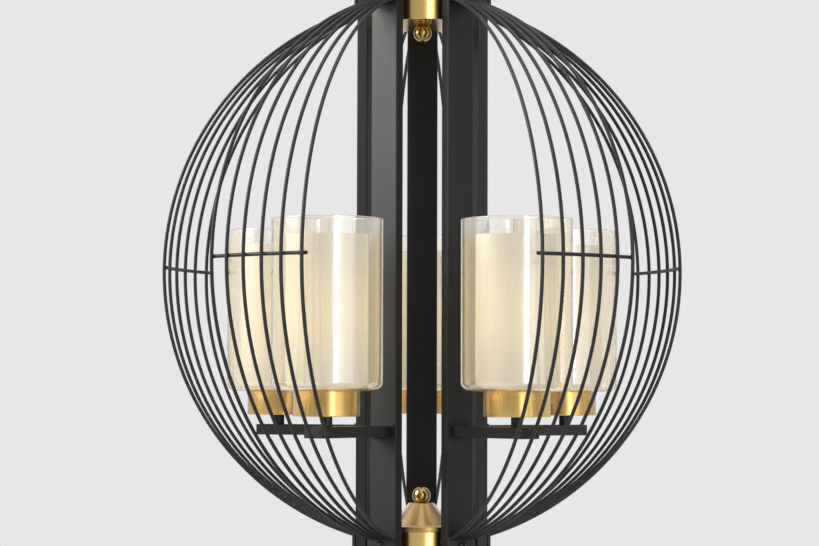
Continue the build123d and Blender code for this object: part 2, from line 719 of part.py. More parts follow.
# Pieces that repeat in every sector
on_lamp_axis = Pos(LAMP_RADIUS, 0, 0)
glass = open_glass(GLASS_DIAMETER / 2, GLASS_CORNER, GLASS_WALL, glass_floor, GLASS_TOP)
shade = open_glass(SHADE_DIAMETER / 2, SHADE_CORNER, SHADE_WALL, shade_floor, SHADE_TOP)
write_each("pillar", pillar())
write_each("cage_panel", cage_panel())
write_each("arm", arm())
write_each("outer_glass", on_lamp_axis * glass)
write_each("inner_shade", on_lamp_axis * shade)
write_each("bulb", on_lamp_axis * bulb())
write_group("lamp_stems", ring_of(on_lamp_axis * lamp_stem(), globe_height))
write_group("lamp_cups", ring_of(on_lamp_axis * cup(), globe_height))
write_group("lamp_holders", ring_of(on_lamp_axis * lamp_holder(), globe_height))
write_group("shade_rings", ring_of(on_lamp_axis * shade_ring(), globe_height))

# Fasteners in groups, those of the upper and lower brackets together
cage_screw_tip = nut_seat(drum_inner_radius, M6_NUT_WIDTH) - M6_NUT_HEIGHT - 1
cage_screws = []
drum_nuts = []
drum_spacers = []
for height in (CAGE_SCREW_HEIGHT, -CAGE_SCREW_HEIGHT):
    cage_screws += ring_of(button_screw(bracket_outer_radius, cage_screw_tip, height), globe_height)
    drum_nuts += ring_of(drum_nut(height), globe_height)
    drum_spacers += ring_of(drum_spacer(height), globe_height)
write_group("cage_screws", cage_screws)
write_group("drum_nuts", drum_nuts)
write_group("drum_spacers", drum_spacers)
arm_screw_length = PILLAR_DEPTH + BASE_PLATE_THICKNESS + ARM_NUT_LENGTH
arm_screw = flush_screw(
    M6_DIAMETER, M6_FLUSH_HEAD_DIAMETER, M6_FLUSH_HEAD_HEIGHT, M6_SOCKET, arm_screw_length
)
write_group("arm_screws", ring_of(at_arm_screw(arm_screw), globe_height))

# Brass drums, caps and balls
write("upper_drum", at_globe(upper_drum()))
write("lower_drum", at_globe(lower_drum()))
write("lower_cap", at_globe(lower_cap()))
upper_ball = at_globe(ball_nut(upper_drum_floor, -1))
lower_ball = at_globe(ball_nut(cap_top, 1))
write_group("drum_balls", [upper_ball, lower_ball])

# End plates with their screws, rods and nuts
plate_inside = PILLAR_HALF_HEIGHT
plate_outside = PILLAR_HALF_HEIGHT + PLATE_THICKNESS
top_plate = at_globe(Pos(0, 0, plate_inside) * end_plate())
top_screws = ring_of(plate_screw(), globe_height + plate_inside)
bottom_plate = at_globe(mirror(Pos(0, 0, plate_inside) * end_plate(), Plane.XY))
low_screw = mirror(Pos(0, 0, plate_inside) * plate_screw(), Plane.XY)
write("top_plate", top_plate)
write("bottom_plate", bottom_plate)
write_group("plate_screws", top_screws + ring_of(low_screw, globe_height))
upper_rod = upright(ROD_DIAMETER / 2, upper_drum_floor - ROD_GRIP, plate_outside + 2 * ROD_GRIP)
upper_rod -= upright(ROD_BORE / 2, upper_drum_floor + ROD_BORE, plate_outside + 2 * ROD_GRIP + 1)
lower_rod = upright(ROD_DIAMETER / 2, -plate_outside - ROD_GRIP, cap_top + ROD_GRIP)
write_group("tie_rods", [at_globe(upper_rod), at_globe(lower_rod)])
drum_nut_floor = upper_drum_floor + DRUM_WALL
rod_nuts = [
    rod_nut(drum_nut_floor, drum_nut_floor + ROD_NUT_HEIGHT),
    rod_nut(plate_inside - ROD_NUT_HEIGHT, plate_inside),
    rod_nut(cap_top - CAP_WALL - ROD_NUT_HEIGHT, cap_top - CAP_WALL),
    rod_nut(-plate_inside, -plate_inside + ROD_NUT_HEIGHT),
]
write_group("tie_rod_nuts", [at_globe(nut) for nut in rod_nuts])
write("bottom_knob", at_globe(knob()))

# Stem from the top plate to the swivel
stem_bore = ROD_DIAMETER / 2 + FIT_GAP
hanging_stem = upright(HANGING_STEM_DIAMETER / 2, plate_top, hanging_stem_top)
hanging_stem -= upright(stem_bore, plate_top - 1, hanging_stem_top + 1)
write("hanging_stem", hanging_stem)
collar = upright(STEM_COLLAR_RADIUS, plate_top, plate_top + STEM_COLLAR_HEIGHT)
collar = chamfer(collar.edges().group_by(Axis.Z)[-1], STEM_COLLAR_EDGE)
collar -= upright(
    HANGING_STEM_DIAMETER / 2 + FIT_GAP, plate_top - 1, plate_top + STEM_COLLAR_HEIGHT + 1
)
write("stem_collar", collar)

# Swivel: the upper pin lies along X and the lower one along Y
upper_fork = fork(upper_fork_top, upper_fork_top - FORK_CROWN, upper_pin_height)
upper_fork -= upright(stem_bore, upper_fork_top - FORK_CROWN + 2, upper_fork_top + 1)
write("upper_fork", upper_fork)
lower_fork = Rot(0, 0, 90) * fork(lower_fork_top, lower_fork_top - FORK_CROWN, lower_pin_height)
lower_fork += upright(ROD_DIAMETER / 2, hanging_stem_top - 2 * ROD_GRIP, hanging_stem_top)
write("lower_fork", lower_fork)
write("swivel_link", swivel_link())
write("upper_swivel_pin", swivel_pin(upper_pin_height, Rot(0, 90, 0)))
write("lower_swivel_pin", swivel_pin(lower_pin_height, Rot(90, 0, 0)))

# Ceiling fitting
write("canopy", canopy())
write("ceiling_bracket", ceiling_bracket())
write("terminal_block", terminal_block())
nipple_bottom = upper_fork_top - FORK_CROWN + 3
nipple = upright(ROD_DIAMETER / 2, nipple_bottom, -1)
nipple -= upright(ROD_BORE / 2, nipple_bottom - 1, 0)
write("ceiling_nipple", nipple)
canopy_nut = upright(CANOPY_NUT_RADIUS, upper_fork_top, canopy_nut_top)
canopy_nut = chamfer(canopy_nut.edges().filter_by(GeomType.CIRCLE), CANOPY_NUT_EDGE)
canopy_nut -= upright(stem_bore, upper_fork_top - 1, canopy_nut_top + 1)
write("canopy_nut", canopy_nut)
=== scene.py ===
import logging
from dataclasses import dataclass, field
from enum import Enum
from math import atan2, cos, pi, radians, sin, sqrt, tan

import bpy
from mathutils import Matrix, Vector


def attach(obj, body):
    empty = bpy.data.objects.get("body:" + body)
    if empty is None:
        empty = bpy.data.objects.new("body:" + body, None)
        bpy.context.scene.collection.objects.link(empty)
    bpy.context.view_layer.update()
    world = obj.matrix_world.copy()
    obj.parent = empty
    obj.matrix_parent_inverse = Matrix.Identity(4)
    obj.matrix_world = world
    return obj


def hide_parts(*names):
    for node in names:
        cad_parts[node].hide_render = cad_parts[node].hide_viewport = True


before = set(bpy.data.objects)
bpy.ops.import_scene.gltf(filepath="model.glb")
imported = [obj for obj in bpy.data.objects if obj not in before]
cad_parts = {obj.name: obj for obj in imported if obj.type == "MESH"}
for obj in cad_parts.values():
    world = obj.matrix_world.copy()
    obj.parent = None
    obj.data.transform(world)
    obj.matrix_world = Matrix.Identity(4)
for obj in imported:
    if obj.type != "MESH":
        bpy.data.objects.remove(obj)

# Looks of the pendant lamp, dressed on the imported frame. Lengths are in metres. Heights of
# pieces are measured from the middle of the globe, as they are in the part's source, and
# Globe.height lowers the pieces to their place under the ceiling. The heights in the glasses'
# finishes and in the studio are measured from the ceiling.

log = logging.getLogger("pendant")

Point = tuple[float, float]
Corner = tuple[float, float, float]
Colour = tuple[float, float, float]
Triple = tuple[float, float, float]
Range = tuple[float, float]
Socket = bpy.types.NodeSocket

# A point of a turned outline that is nearer to the axis than this lies on it
ON_AXIS = 1e-7

# Halfway round an edge, its rounding is about this share of its radius from both faces
HALFWAY_SHARE = 0.3


class Body(Enum):
    """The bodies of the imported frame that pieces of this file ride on."""

    LAMP = "lamp"
    BULB = "bulb_{number}"


class Edge(Enum):
    """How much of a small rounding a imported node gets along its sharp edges."""

    NONE = 0.0
    FINE = 0.0002
    CLEAR = 0.0005


@dataclass(frozen=True)
class Globe:
    """Where the five sectors stand and how high the middle of the globe hangs."""

    height: float = -0.690
    sectors: int = 5
    back_azimuth: float = pi / 2
    lamp_radius: float = 0.172

    def numbers(self) -> range:
        """The numbers of the sectors."""
        return range(1, self.sectors + 1)

    def azimuth(self, number: int) -> float:
        """The direction of a sector, numbered from 1 at the back."""
        return self.back_azimuth + 2 * pi * (number - 1) / self.sectors

    def sector(self, number: int) -> Matrix:
        """The turn and drop that take a piece drawn along +X to its sector."""
        return self.centre() @ Matrix.Rotation(self.azimuth(number), 4, "Z")

    def lamp(self, number: int) -> Matrix:
        """The place of a piece drawn round the Z axis on the axis of one lamp."""
        return self.sector(number) @ Matrix.Translation((self.lamp_radius, 0, 0))

    def centre(self) -> Matrix:
        """The place of a piece drawn round the axis of the whole lamp."""
        return Matrix.Translation((0, 0, self.height))


class Graph:
    """Short calls for building one tree of nodes."""

    def __init__(self, tree: bpy.types.NodeTree) -> None:
        """Keep the tree.

        Args:
            tree: The tree that the nodes go into.
        """
        self.tree = tree

    def add(self, kind: str, inputs: dict | None = None, **settings: object) -> bpy.types.Node:
        """Add a node, set its properties and fill or link its inputs.

        Args:
            kind: The node's type name.
            inputs: Values or sockets, by the input's name or place.
            **settings: Properties of the node.

        Returns:
            The new node.
        """
        node = self.tree.nodes.new(kind)
        for name, value in settings.items():
            setattr(node, name, value)
        for name, value in (inputs or {}).items():
            if isinstance(value, Socket):
                self.tree.links.new(value, node.inputs[name])
            else:
                node.inputs[name].default_value = value
        return node

    def math(self, operation: str, first: Socket | float, second: Socket | float = 0.0) -> Socket:
        """Put two values through a Math node.

        Args:
            operation: The operation's name.
            first: The first value or socket.
            second: The second value or socket.

        Returns:
            The result's socket.
        """
        return self.add("ShaderNodeMath", {0: first, 1: second}, operation=operation).outputs[0]

    def spread(self, value: Socket, low: float, high: float) -> Socket:
        """Map a range of a value smoothly on a share from 0 to 1, and stop at its ends.

        Args:
            value: The socket to map.
            low: The value that gives 0.
            high: The value that gives 1.

        Returns:
            The share's socket.
        """
        inputs = {"Value": value, 1: low, 2: high}
        return self.add("ShaderNodeMapRange", inputs, interpolation_type="SMOOTHSTEP").outputs[0]

    def blend(self, share: Socket, first: Socket | tuple, second: Socket | tuple) -> Socket:
        """Mix two colours by a share that changes over the surface.

        Args:
            share: The share of the second colour.
            first: The first colour, or its socket.
            second: The second colour, or its socket.

        Returns:
            The mixed colour's socket.
        """
        node = self.add("ShaderNodeMix", data_type="RGBA")
        self.tree.links.new(share, node.inputs["Factor"])
        for place, colour in ((6, first), (7, second)):
            if isinstance(colour, Socket):
                self.tree.links.new(colour, node.inputs[place])
            else:
                node.inputs[place].default_value = (*colour, 1.0)
        return node.outputs[2]

    def bump(self, height: Socket, strength: float, distance: float) -> Socket:
        """Turn a height into a normal.

        Args:
            height: The height's socket.
            strength: How strong the relief is.
            distance: How high it is, in metres.

        Returns:
            The normal's socket.
        """
        inputs = {"Height": height, "Strength": strength, "Distance": distance}
        return self.add("ShaderNodeBump", inputs).outputs["Normal"]


class Effect:
    """A shader node group that several materials share, built once."""

    name: str = ""
    inputs: dict[str, float] = {}
    outputs: tuple[str, ...] = ()

    def tree(self) -> bpy.types.NodeTree:
        """Find the group or build it.

        Returns:
            The node group.
        """
        found = bpy.data.node_groups.get(self.name)
        if found:
            return found
        tree = bpy.data.node_groups.new(self.name, "ShaderNodeTree")
        for name, value in self.inputs.items():
            socket = tree.interface.new_socket(name, in_out="INPUT", socket_type="NodeSocketFloat")
            socket.default_value = value
        for name in self.outputs:
            tree.interface.new_socket(name, in_out="OUTPUT", socket_type="NodeSocketFloat")
        graph = Graph(tree)
        given = graph.add("NodeGroupInput")
        made = graph.add("NodeGroupOutput")
        place = graph.add("ShaderNodeTexCoord").outputs["Object"]
        for name, socket in self.build(graph, given, place).items():
            tree.links.new(socket, made.inputs[name])
        return tree

    def build(self, graph: Graph, given: bpy.types.Node, place: Socket) -> dict[str, Socket]:
        """Make the group's inside.

        Args:
            graph: The group's tree.
            given: The group's input node.
            place: The surface point in the object's own space.

        Returns:
            The sockets that feed the outputs, by name.
        """
        raise NotImplementedError

    def use(self, graph: Graph, **values: float) -> bpy.types.Node:
        """Place the group in a material.

        Args:
            graph: The material's tree.
            **values: Values of the inputs, with low lines for the spaces of their names.

        Returns:
            The group node.
        """
        node = graph.add("ShaderNodeGroup", node_tree=self.tree())
        for name, value in values.items():
            node.inputs[name.replace("_", " ").title()].default_value = value
        return node


class PaintSkin(Effect):
    """A fine peel and slight clouds, for coats, platings, glazes and glass."""

    name = "paint_skin"
    inputs = {"Peel Scale": 900.0, "Cloud Scale": 14.0}
    outputs = ("Height", "Clouds")
    fine_scale: float = 2.6
    fine_share: float = 0.35
    cloud_range: Range = (0.35, 0.65)

    def build(self, graph: Graph, given: bpy.types.Node, place: Socket) -> dict[str, Socket]:
        """Mix a coarse and a fine peel, and lay wide clouds beside them.

        Args:
            graph: The group's tree.
            given: The group's input node.
            place: The surface point in the object's own space.

        Returns:
            The height and the clouds.
        """
        scale = given.outputs["Peel Scale"]
        coarse = graph.add("ShaderNodeTexNoise", {"Vector": place, "Scale": scale, "Detail": 2.0})
        finer = graph.math("MULTIPLY", scale, self.fine_scale)
        fine = graph.add("ShaderNodeTexVoronoi", {"Vector": place, "Scale": finer})
        clouds = graph.add(
            "ShaderNodeTexNoise",
            {"Vector": place, "Scale": given.outputs["Cloud Scale"], "Detail": 4.0, "Roughness": 0.6},
        )
        height = graph.math("MULTIPLY_ADD", fine.outputs["Distance"], self.fine_share)
        graph.tree.links.new(coarse.outputs[0], height.node.inputs[2])
        return {"Height": height, "Clouds": graph.spread(clouds.outputs[0], *self.cloud_range)}


class TurnedLines(Effect):
    """Fine lines round a turned or spun piece, at random heights."""

    name = "turned_lines"
    inputs = {"Lines Scale": 4000.0, "Drift": 0.4}
    outputs = ("Height", "Bands")
    band_scale: float = 0.07
    band_range: Range = (0.35, 0.65)

    def build(self, graph: Graph, given: bpy.types.Node, place: Socket) -> dict[str, Socket]:
        """Squeeze a noise into lines along the height and let it drift slowly round.

        Args:
            graph: The group's tree.
            given: The group's input node.
            place: The surface point in the object's own space.

        Returns:
            The height of the lines and wider bands among them.
        """
        split = graph.add("ShaderNodeSeparateXYZ", {0: place})
        right = graph.math("MULTIPLY", split.outputs["X"], given.outputs["Drift"])
        back = graph.math("MULTIPLY", split.outputs["Y"], given.outputs["Drift"])
        up = graph.math("MULTIPLY", split.outputs["Z"], given.outputs["Lines Scale"])
        narrow = graph.add("ShaderNodeCombineXYZ", {0: right, 1: back, 2: up}).outputs[0]
        lines = graph.add("ShaderNodeTexNoise", {"Vector": narrow, "Scale": 1.0, "Detail": 3.0})
        slow = graph.math("MULTIPLY", up, self.band_scale)
        wide = graph.add("ShaderNodeCombineXYZ", {0: right, 1: back, 2: slow}).outputs[0]
        bands = graph.add("ShaderNodeTexNoise", {"Vector": wide, "Scale": 1.0, "Detail": 2.0})
        return {"Height": lines.outputs[0], "Bands": graph.spread(bands.outputs[0], *self.band_range)}


class Handling(Effect):
    """Faint smudges and wiping marks from hands and cloths."""

    name = "handling"
    inputs = {"Smudge Scale": 30.0, "Smudge Share": 0.5}
    outputs = ("Smudges",)
    stretch: Triple = (1.0, 1.0, 0.35)
    soft_edge: Range = (-0.1, 0.15)

    def build(self, graph: Graph, given: bpy.types.Node, place: Socket) -> dict[str, Socket]:
        """Cut wide smudges out of a stretched noise.

        Args:
            graph: The group's tree.
            given: The group's input node.
            place: The surface point in the object's own space.

        Returns:
            The smudges.
        """
        stretched = graph.add("ShaderNodeMapping", {"Vector": place, "Scale": self.stretch})
        noise = graph.add(
            "ShaderNodeTexNoise",
            {
                "Vector": stretched.outputs[0],
                "Scale": given.outputs["Smudge Scale"],
                "Detail": 5.0,
                "Roughness": 0.62,
                "Distortion": 0.6,
            },
        )
        edge = graph.math("SUBTRACT", 1.0, given.outputs["Smudge Share"])
        over = graph.math("SUBTRACT", noise.outputs[0], edge)
        return {"Smudges": graph.spread(over, *self.soft_edge)}


class DrawnStreaks(Effect):
    """The soft upright ripples of glass drawn into a cylinder."""

    name = "drawn_streaks"
    inputs = {"Streak Scale": 330.0, "Streak Length": 0.004}
    outputs = ("Height", "Streaks", "Tints")
    wide_scale: float = 0.18
    wide_share: float = 2.0
    streak_range: Range = (0.45, 0.70)
    tint_range: Range = (0.38, 0.62)

    def build(self, graph: Graph, given: bpy.types.Node, place: Socket) -> dict[str, Socket]:
        """Stretch two noises along the height.

        Args:
            graph: The group's tree.
            given: The group's input node.
            place: The surface point in the object's own space.

        Returns:
            The height of the ripples, a mask of the stronger streaks and one of wide tints.
        """
        split = graph.add("ShaderNodeSeparateXYZ", {0: place})
        up = graph.math("MULTIPLY", split.outputs["Z"], given.outputs["Streak Length"])
        drawn = graph.add("ShaderNodeCombineXYZ", {0: split.outputs["X"], 1: split.outputs["Y"], 2: up})
        scale = given.outputs["Streak Scale"]
        inputs = {"Vector": drawn.outputs[0], "Scale": scale, "Detail": 2.0, "Roughness": 0.5}
        fine = graph.add("ShaderNodeTexNoise", inputs)
        wider = graph.math("MULTIPLY", scale, self.wide_scale)
        wide = graph.add("ShaderNodeTexNoise", {"Vector": drawn.outputs[0], "Scale": wider})
        swell = graph.math("MULTIPLY", wide.outputs[0], self.wide_share)
        return {
            "Height": graph.math("ADD", fine.outputs[0], swell),
            "Streaks": graph.spread(fine.outputs[0], *self.streak_range),
            "Tints": graph.spread(wide.outputs[0], *self.tint_range),
        }


def shaded(tone: Colour, share: float) -> Colour:
    """A darker tone of a colour, down to a share of it."""
    return tuple(share * part for part in tone)


@dataclass(frozen=True)
class Finish:
    """A material, made once and found again by its name."""

    name: str

    def material(self) -> bpy.types.Material:
        """Find the material or make it.

        Returns:
            The material.
        """
        found = bpy.data.materials.get(self.name)
        if found:
            return found
        made = bpy.data.materials.new(self.name)
        made.use_nodes = True
        made.node_tree.nodes.clear()
        graph = Graph(made.node_tree)
        surface = self.surface(graph)
        graph.add("ShaderNodeOutputMaterial", {"Surface": surface})
        return made

    def surface(self, graph: Graph) -> Socket:
        """Make the nodes of the material.

        Args:
            graph: The material's tree.

        Returns:
            The shader's socket.
        """
        raise NotImplementedError


@dataclass(frozen=True)
class Coating(Finish):
    """A coat, plating or glaze with a fine relief, clouded in tone and smudged by hands."""

    tone: Colour
    cloud_tone: Colour
    roughness: float
    smudge_roughness: float
    smudge_scale: float
    peel_scale: float
    peel_strength: float
    peel_depth: float
    cloud_scale: float = 14.0
    smudge_share: float = 0.5
    metallic: float = 0.0
    specular: float = 0.5

    def surface(self, graph: Graph) -> Socket:
        """Vary the tone with the clouds and the roughness with the smudges.

        Args:
            graph: The material's tree.

        Returns:
            The shader's socket.
        """
        skin = PaintSkin().use(graph, peel_scale=self.peel_scale, cloud_scale=self.cloud_scale)
        hands = Handling().use(graph, smudge_scale=self.smudge_scale, smudge_share=self.smudge_share)
        added = graph.math("MULTIPLY", hands.outputs["Smudges"], self.smudge_roughness)
        inputs = {
            "Base Color": graph.blend(skin.outputs["Clouds"], self.tone, self.cloud_tone),
            "Metallic": self.metallic,
            "Roughness": graph.math("ADD", added, self.roughness),
            "Specular IOR Level": self.specular,
            "Normal": graph.bump(skin.outputs["Height"], self.peel_strength, self.peel_depth),
        }
        return graph.add("ShaderNodeBsdfPrincipled", inputs).outputs[0]


@dataclass(frozen=True)
class PowderCoat(Coating):
    """A satin black coat baked on metal, with its orange peel, glossier where it was touched."""

    tone: Colour = (0.0095, 0.0092, 0.0096)
    cloud_tone: Colour = (0.0135, 0.013, 0.0135)
    roughness: float = 0.43
    smudge_roughness: float = -0.05
    smudge_scale: float = 22.0
    peel_scale: float = 900.0
    peel_strength: float = 0.35
    peel_depth: float = 0.00006
    smudge_share: float = 0.42
    specular: float = 0.37


@dataclass(frozen=True)
class Steel(Coating):
    """Plated steel of nuts, rods and the hidden fittings."""

    tone: Colour = (0.56, 0.56, 0.57)
    cloud_tone: Colour = (0.42, 0.42, 0.40)
    roughness: float = 0.3
    smudge_roughness: float = 0.12
    smudge_scale: float = 80.0
    peel_scale: float = 1600.0
    peel_strength: float = 0.25
    peel_depth: float = 0.00003
    cloud_scale: float = 60.0
    metallic: float = 1.0


@dataclass(frozen=True)
class Moulded(Coating):
    """Glazed ceramic, enamel or moulded plastic."""

    tone: Colour = (0.82, 0.81, 0.77)
    cloud_tone: Colour = (0.76, 0.74, 0.68)
    roughness: float = 0.28
    smudge_roughness: float = 0.1
    smudge_scale: float = 60.0
    peel_scale: float = 500.0
    peel_strength: float = 0.2
    peel_depth: float = 0.00003
    cloud_scale: float = 40.0


@dataclass(frozen=True)
class Brass(Finish):
    """Brass, spun and brushed to a satin or polished to a mirror."""

    tone: Colour = (0.72, 0.465, 0.150)
    deep_tone: Colour = (0.68, 0.43, 0.135)
    roughness: float = 0.27
    smudge_roughness: float = 0.03
    lines_scale: float = 9000.0
    lines_depth: float = 0.0000006
    lacquer: float = 0.6
    lines_strength: float = 0.4
    lacquer_roughness: float = 0.12
    painted_reflection_tone: Colour | None = None
    painted_reflection_range: Range = (0.24, 0.70)

    def surface(self, graph: Graph) -> Socket:
        """Lay lines and smudges on the metal, and where it has one, a painted reflection: a paler tone
        towards the outline.

        Args:
            graph: The material's tree.

        Returns:
            The shader's socket.
        """
        lines = TurnedLines().use(graph, lines_scale=self.lines_scale)
        hands = Handling().use(graph, smudge_scale=40.0, smudge_share=0.45)
        added = graph.math("MULTIPLY", hands.outputs["Smudges"], self.smudge_roughness)
        colour = graph.blend(lines.outputs["Bands"], self.tone, self.deep_tone)
        # Painted reflection: a paler tone where the surface turns away from the view stands in for the
        # bright room mirrored there
        if self.painted_reflection_tone is not None:
            rim = graph.add("ShaderNodeLayerWeight", {"Blend": 0.5}).outputs["Facing"]
            colour = graph.blend(graph.spread(rim, *self.painted_reflection_range), colour, self.painted_reflection_tone)
        inputs = {
            "Base Color": colour,
            "Metallic": 1.0,
            "Roughness": graph.math("ADD", added, self.roughness),
            "Coat Weight": self.lacquer,
            "Coat Roughness": self.lacquer_roughness,
            "Normal": graph.bump(lines.outputs["Height"], self.lines_strength, self.lines_depth),
        }
        return graph.add("ShaderNodeBsdfPrincipled", inputs).outputs[0]


@dataclass(frozen=True)
class ClearGlass(Finish):
    """Blown glass with a champagne tint, nearly clear but warm towards its edges, with a painted glow
    there.
    """

    gold_tone: Colour = (1.0, 0.985, 0.925)
    rose_tone: Colour = (1.0, 0.975, 0.955)
    streak_tone: Colour = (0.985, 0.955, 0.905)
    edge_gold: Colour = (0.98, 0.915, 0.71)
    edge_rose: Colour = (0.98, 0.895, 0.79)
    gold_painted_glow: Colour = (1.0, 0.74, 0.12)
    rose_painted_glow: Colour = (1.0, 0.64, 0.27)
    clear_painted_glow: Colour = (0.95, 1.0, 0.92)
    painted_glow_strength: float = 0.070
    roughness: float = 0.01
    index: float = 1.55
    specular: float = 0.12
    sheen: float = 0.8
    sheen_roughness: float = 0.22
    sheen_index: float = 2.0
    lit_height: float = -0.668
    clear_height: float = -0.652
    edge_blend: float = 0.35
    edge_range: Range = (0.04, 0.45)
    ripple_strength: float = 0.2
    ripple_depth: float = 0.0003
    shadow_tone: Colour = (0.96, 0.94, 0.88)

    def surface(self, graph: Graph) -> Socket:
        """Tint the wall in soft upright bands, more towards its edges, and paint a glow there for the
        shade's light picked up by the glass.

        Args:
            graph: The material's tree.

        Returns:
            The shader's socket.
        """
        drawn = DrawnStreaks().use(graph)
        tints = drawn.outputs["Tints"]
        rim = graph.add("ShaderNodeLayerWeight", {"Blend": self.edge_blend}).outputs["Facing"]
        share = graph.spread(rim, *self.edge_range)
        middle = graph.blend(tints, self.gold_tone, self.rose_tone)
        middle = graph.blend(drawn.outputs["Streaks"], middle, self.streak_tone)
        edge = graph.blend(tints, self.edge_gold, self.edge_rose)
        # Painted glow: emission near the glass's edges, warm beside the shade and neutral above it, stands
        # in for the shade's light picked up by the wall
        painted_glow = graph.blend(tints, self.gold_painted_glow, self.rose_painted_glow)
        place = graph.add("ShaderNodeTexCoord").outputs["Object"]
        height = graph.add("ShaderNodeSeparateXYZ", {0: place}).outputs["Z"]
        above = graph.spread(height, self.lit_height, self.clear_height)
        painted_glow = graph.blend(above, painted_glow, self.clear_painted_glow)
        unlit = (0.0, 0.0, 0.0)
        inputs = {
            "Base Color": graph.blend(share, middle, edge),
            "Roughness": self.roughness,
            "IOR": self.index,
            "Specular IOR Level": self.specular,
            "Transmission Weight": 1.0,
            "Coat Weight": self.sheen,
            "Coat Roughness": self.sheen_roughness,
            "Coat IOR": self.sheen_index,
            "Emission Color": graph.blend(share, unlit, painted_glow),
            "Emission Strength": self.painted_glow_strength,
            "Normal": graph.bump(drawn.outputs["Height"], self.ripple_strength, self.ripple_depth),
        }
        glass = graph.add("ShaderNodeBsdfPrincipled", inputs).outputs[0]
        open_way = graph.add("ShaderNodeBsdfTransparent", {"Color": (*self.shadow_tone, 1.0)}).outputs[0]
        shadow = graph.add("ShaderNodeLightPath").outputs["Is Shadow Ray"]
        return graph.add("ShaderNodeMixShader", {0: shadow, 1: glass, 2: open_way}).outputs[0]


@dataclass(frozen=True)
class OpalGlass(Finish):
    """White flashed glass, lit from within by its bulb."""

    tone: Colour = (0.335, 0.295, 0.23)
    glow: Colour = (1.0, 0.83, 0.47)
    far_glow: Colour = (0.555, 0.50, 0.374)
    glow_height: float = -0.745
    glow_reach: float = 0.085
    strength: float = 0.415
    roughness: float = 0.35
    gloss: float = 0.4
    gloss_roughness: float = 0.08
    cloud_share: float = 0.97
    ripple_strength: float = 0.1
    ripple_depth: float = 0.0002

    def surface(self, graph: Graph) -> Socket:
        """Make the glow strongest beside the bulb and let it fade to both ends.

        Args:
            graph: The material's tree.

        Returns:
            The shader's socket.
        """
        skin = PaintSkin().use(graph, peel_scale=60.0, cloud_scale=9.0)
        place = graph.add("ShaderNodeTexCoord").outputs["Object"]
        height = graph.add("ShaderNodeSeparateXYZ", {0: place}).outputs["Z"]
        away = graph.math("ABSOLUTE", graph.math("SUBTRACT", height, self.glow_height))
        share = graph.spread(away, 0.0, self.glow_reach)
        clouded = shaded(self.tone, self.cloud_share)
        inputs = {
            "Base Color": graph.blend(skin.outputs["Clouds"], self.tone, clouded),
            "Roughness": self.roughness,
            "Coat Weight": self.gloss,
            "Coat Roughness": self.gloss_roughness,
            "Emission Color": graph.blend(share, self.glow, self.far_glow),
            "Emission Strength": self.strength,
            "Normal": graph.bump(skin.outputs["Height"], self.ripple_strength, self.ripple_depth),
        }
        return graph.add("ShaderNodeBsdfPrincipled", inputs).outputs[0]


@dataclass(frozen=True)
class BulbGlass(Finish):
    """The frosted glass of a lit bulb."""

    tone: Colour = (0.92, 0.90, 0.84)
    glow: Colour = (1.0, 0.80, 0.50)
    strength: float = 1.1
    roughness: float = 0.45
    cloud_share: float = 0.95
    dim_share: float = 0.6
    grain_strength: float = 0.3
    grain_depth: float = 0.00005

    def surface(self, graph: Graph) -> Socket:
        """Cloud the glow a little and grain the frosting.

        Args:
            graph: The material's tree.

        Returns:
            The shader's socket.
        """
        skin = PaintSkin().use(graph, peel_scale=2200.0, cloud_scale=30.0)
        clouds = skin.outputs["Clouds"]
        inputs = {
            "Base Color": graph.blend(clouds, self.tone, shaded(self.tone, self.cloud_share)),
            "Roughness": self.roughness,
            "Emission Color": graph.blend(clouds, self.glow, shaded(self.glow, self.dim_share)),
            "Emission Strength": self.strength,
            "Normal": graph.bump(skin.outputs["Height"], self.grain_strength, self.grain_depth),
        }
        return graph.add("ShaderNodeBsdfPrincipled", inputs).outputs[0]


def looked_at(graph: Graph) -> tuple[Socket, Socket]:
    """Tell what is looked at from what only lights.

    Args:
        graph: The tree of the world or the floor.

    Returns:
        Whether a ray comes from the camera or through glass, and whether it does or is mirrored.
    """
    path = graph.add("ShaderNodeLightPath")
    direct = graph.math("MAXIMUM", path.outputs["Is Camera Ray"], path.outputs["Is Transmission Ray"])
    return direct, graph.math("MAXIMUM", direct, path.outputs["Is Glossy Ray"])


@dataclass(frozen=True)
class PaleFloor(Finish):
    """The floor of the room, which glows where it is looked at and is clear from below."""

    tone: Colour = (0.19, 0.19, 0.19)
    cloud_tone: Colour = (0.183, 0.183, 0.184)
    glow: Colour = (0.715, 0.712, 0.715)
    roughness: float = 0.9
    specular: float = 0.1

    def surface(self, graph: Graph) -> Socket:
        """Cloud the tone, add the glow and make the underside clear.

        Args:
            graph: The material's tree.

        Returns:
            The shader's socket.
        """
        skin = PaintSkin().use(graph, peel_scale=40.0, cloud_scale=0.8)
        inputs = {
            "Base Color": graph.blend(skin.outputs["Clouds"], self.tone, self.cloud_tone),
            "Roughness": self.roughness,
            "Specular IOR Level": self.specular,
            "Emission Color": (*self.glow, 1.0),
            "Emission Strength": looked_at(graph)[1],
        }
        above = graph.add("ShaderNodeBsdfPrincipled", inputs).outputs[0]
        below = graph.add("ShaderNodeBsdfTransparent").outputs[0]
        behind = graph.add("ShaderNodeNewGeometry").outputs["Backfacing"]
        return graph.add("ShaderNodeMixShader", {0: behind, 1: above, 2: below}).outputs[0]


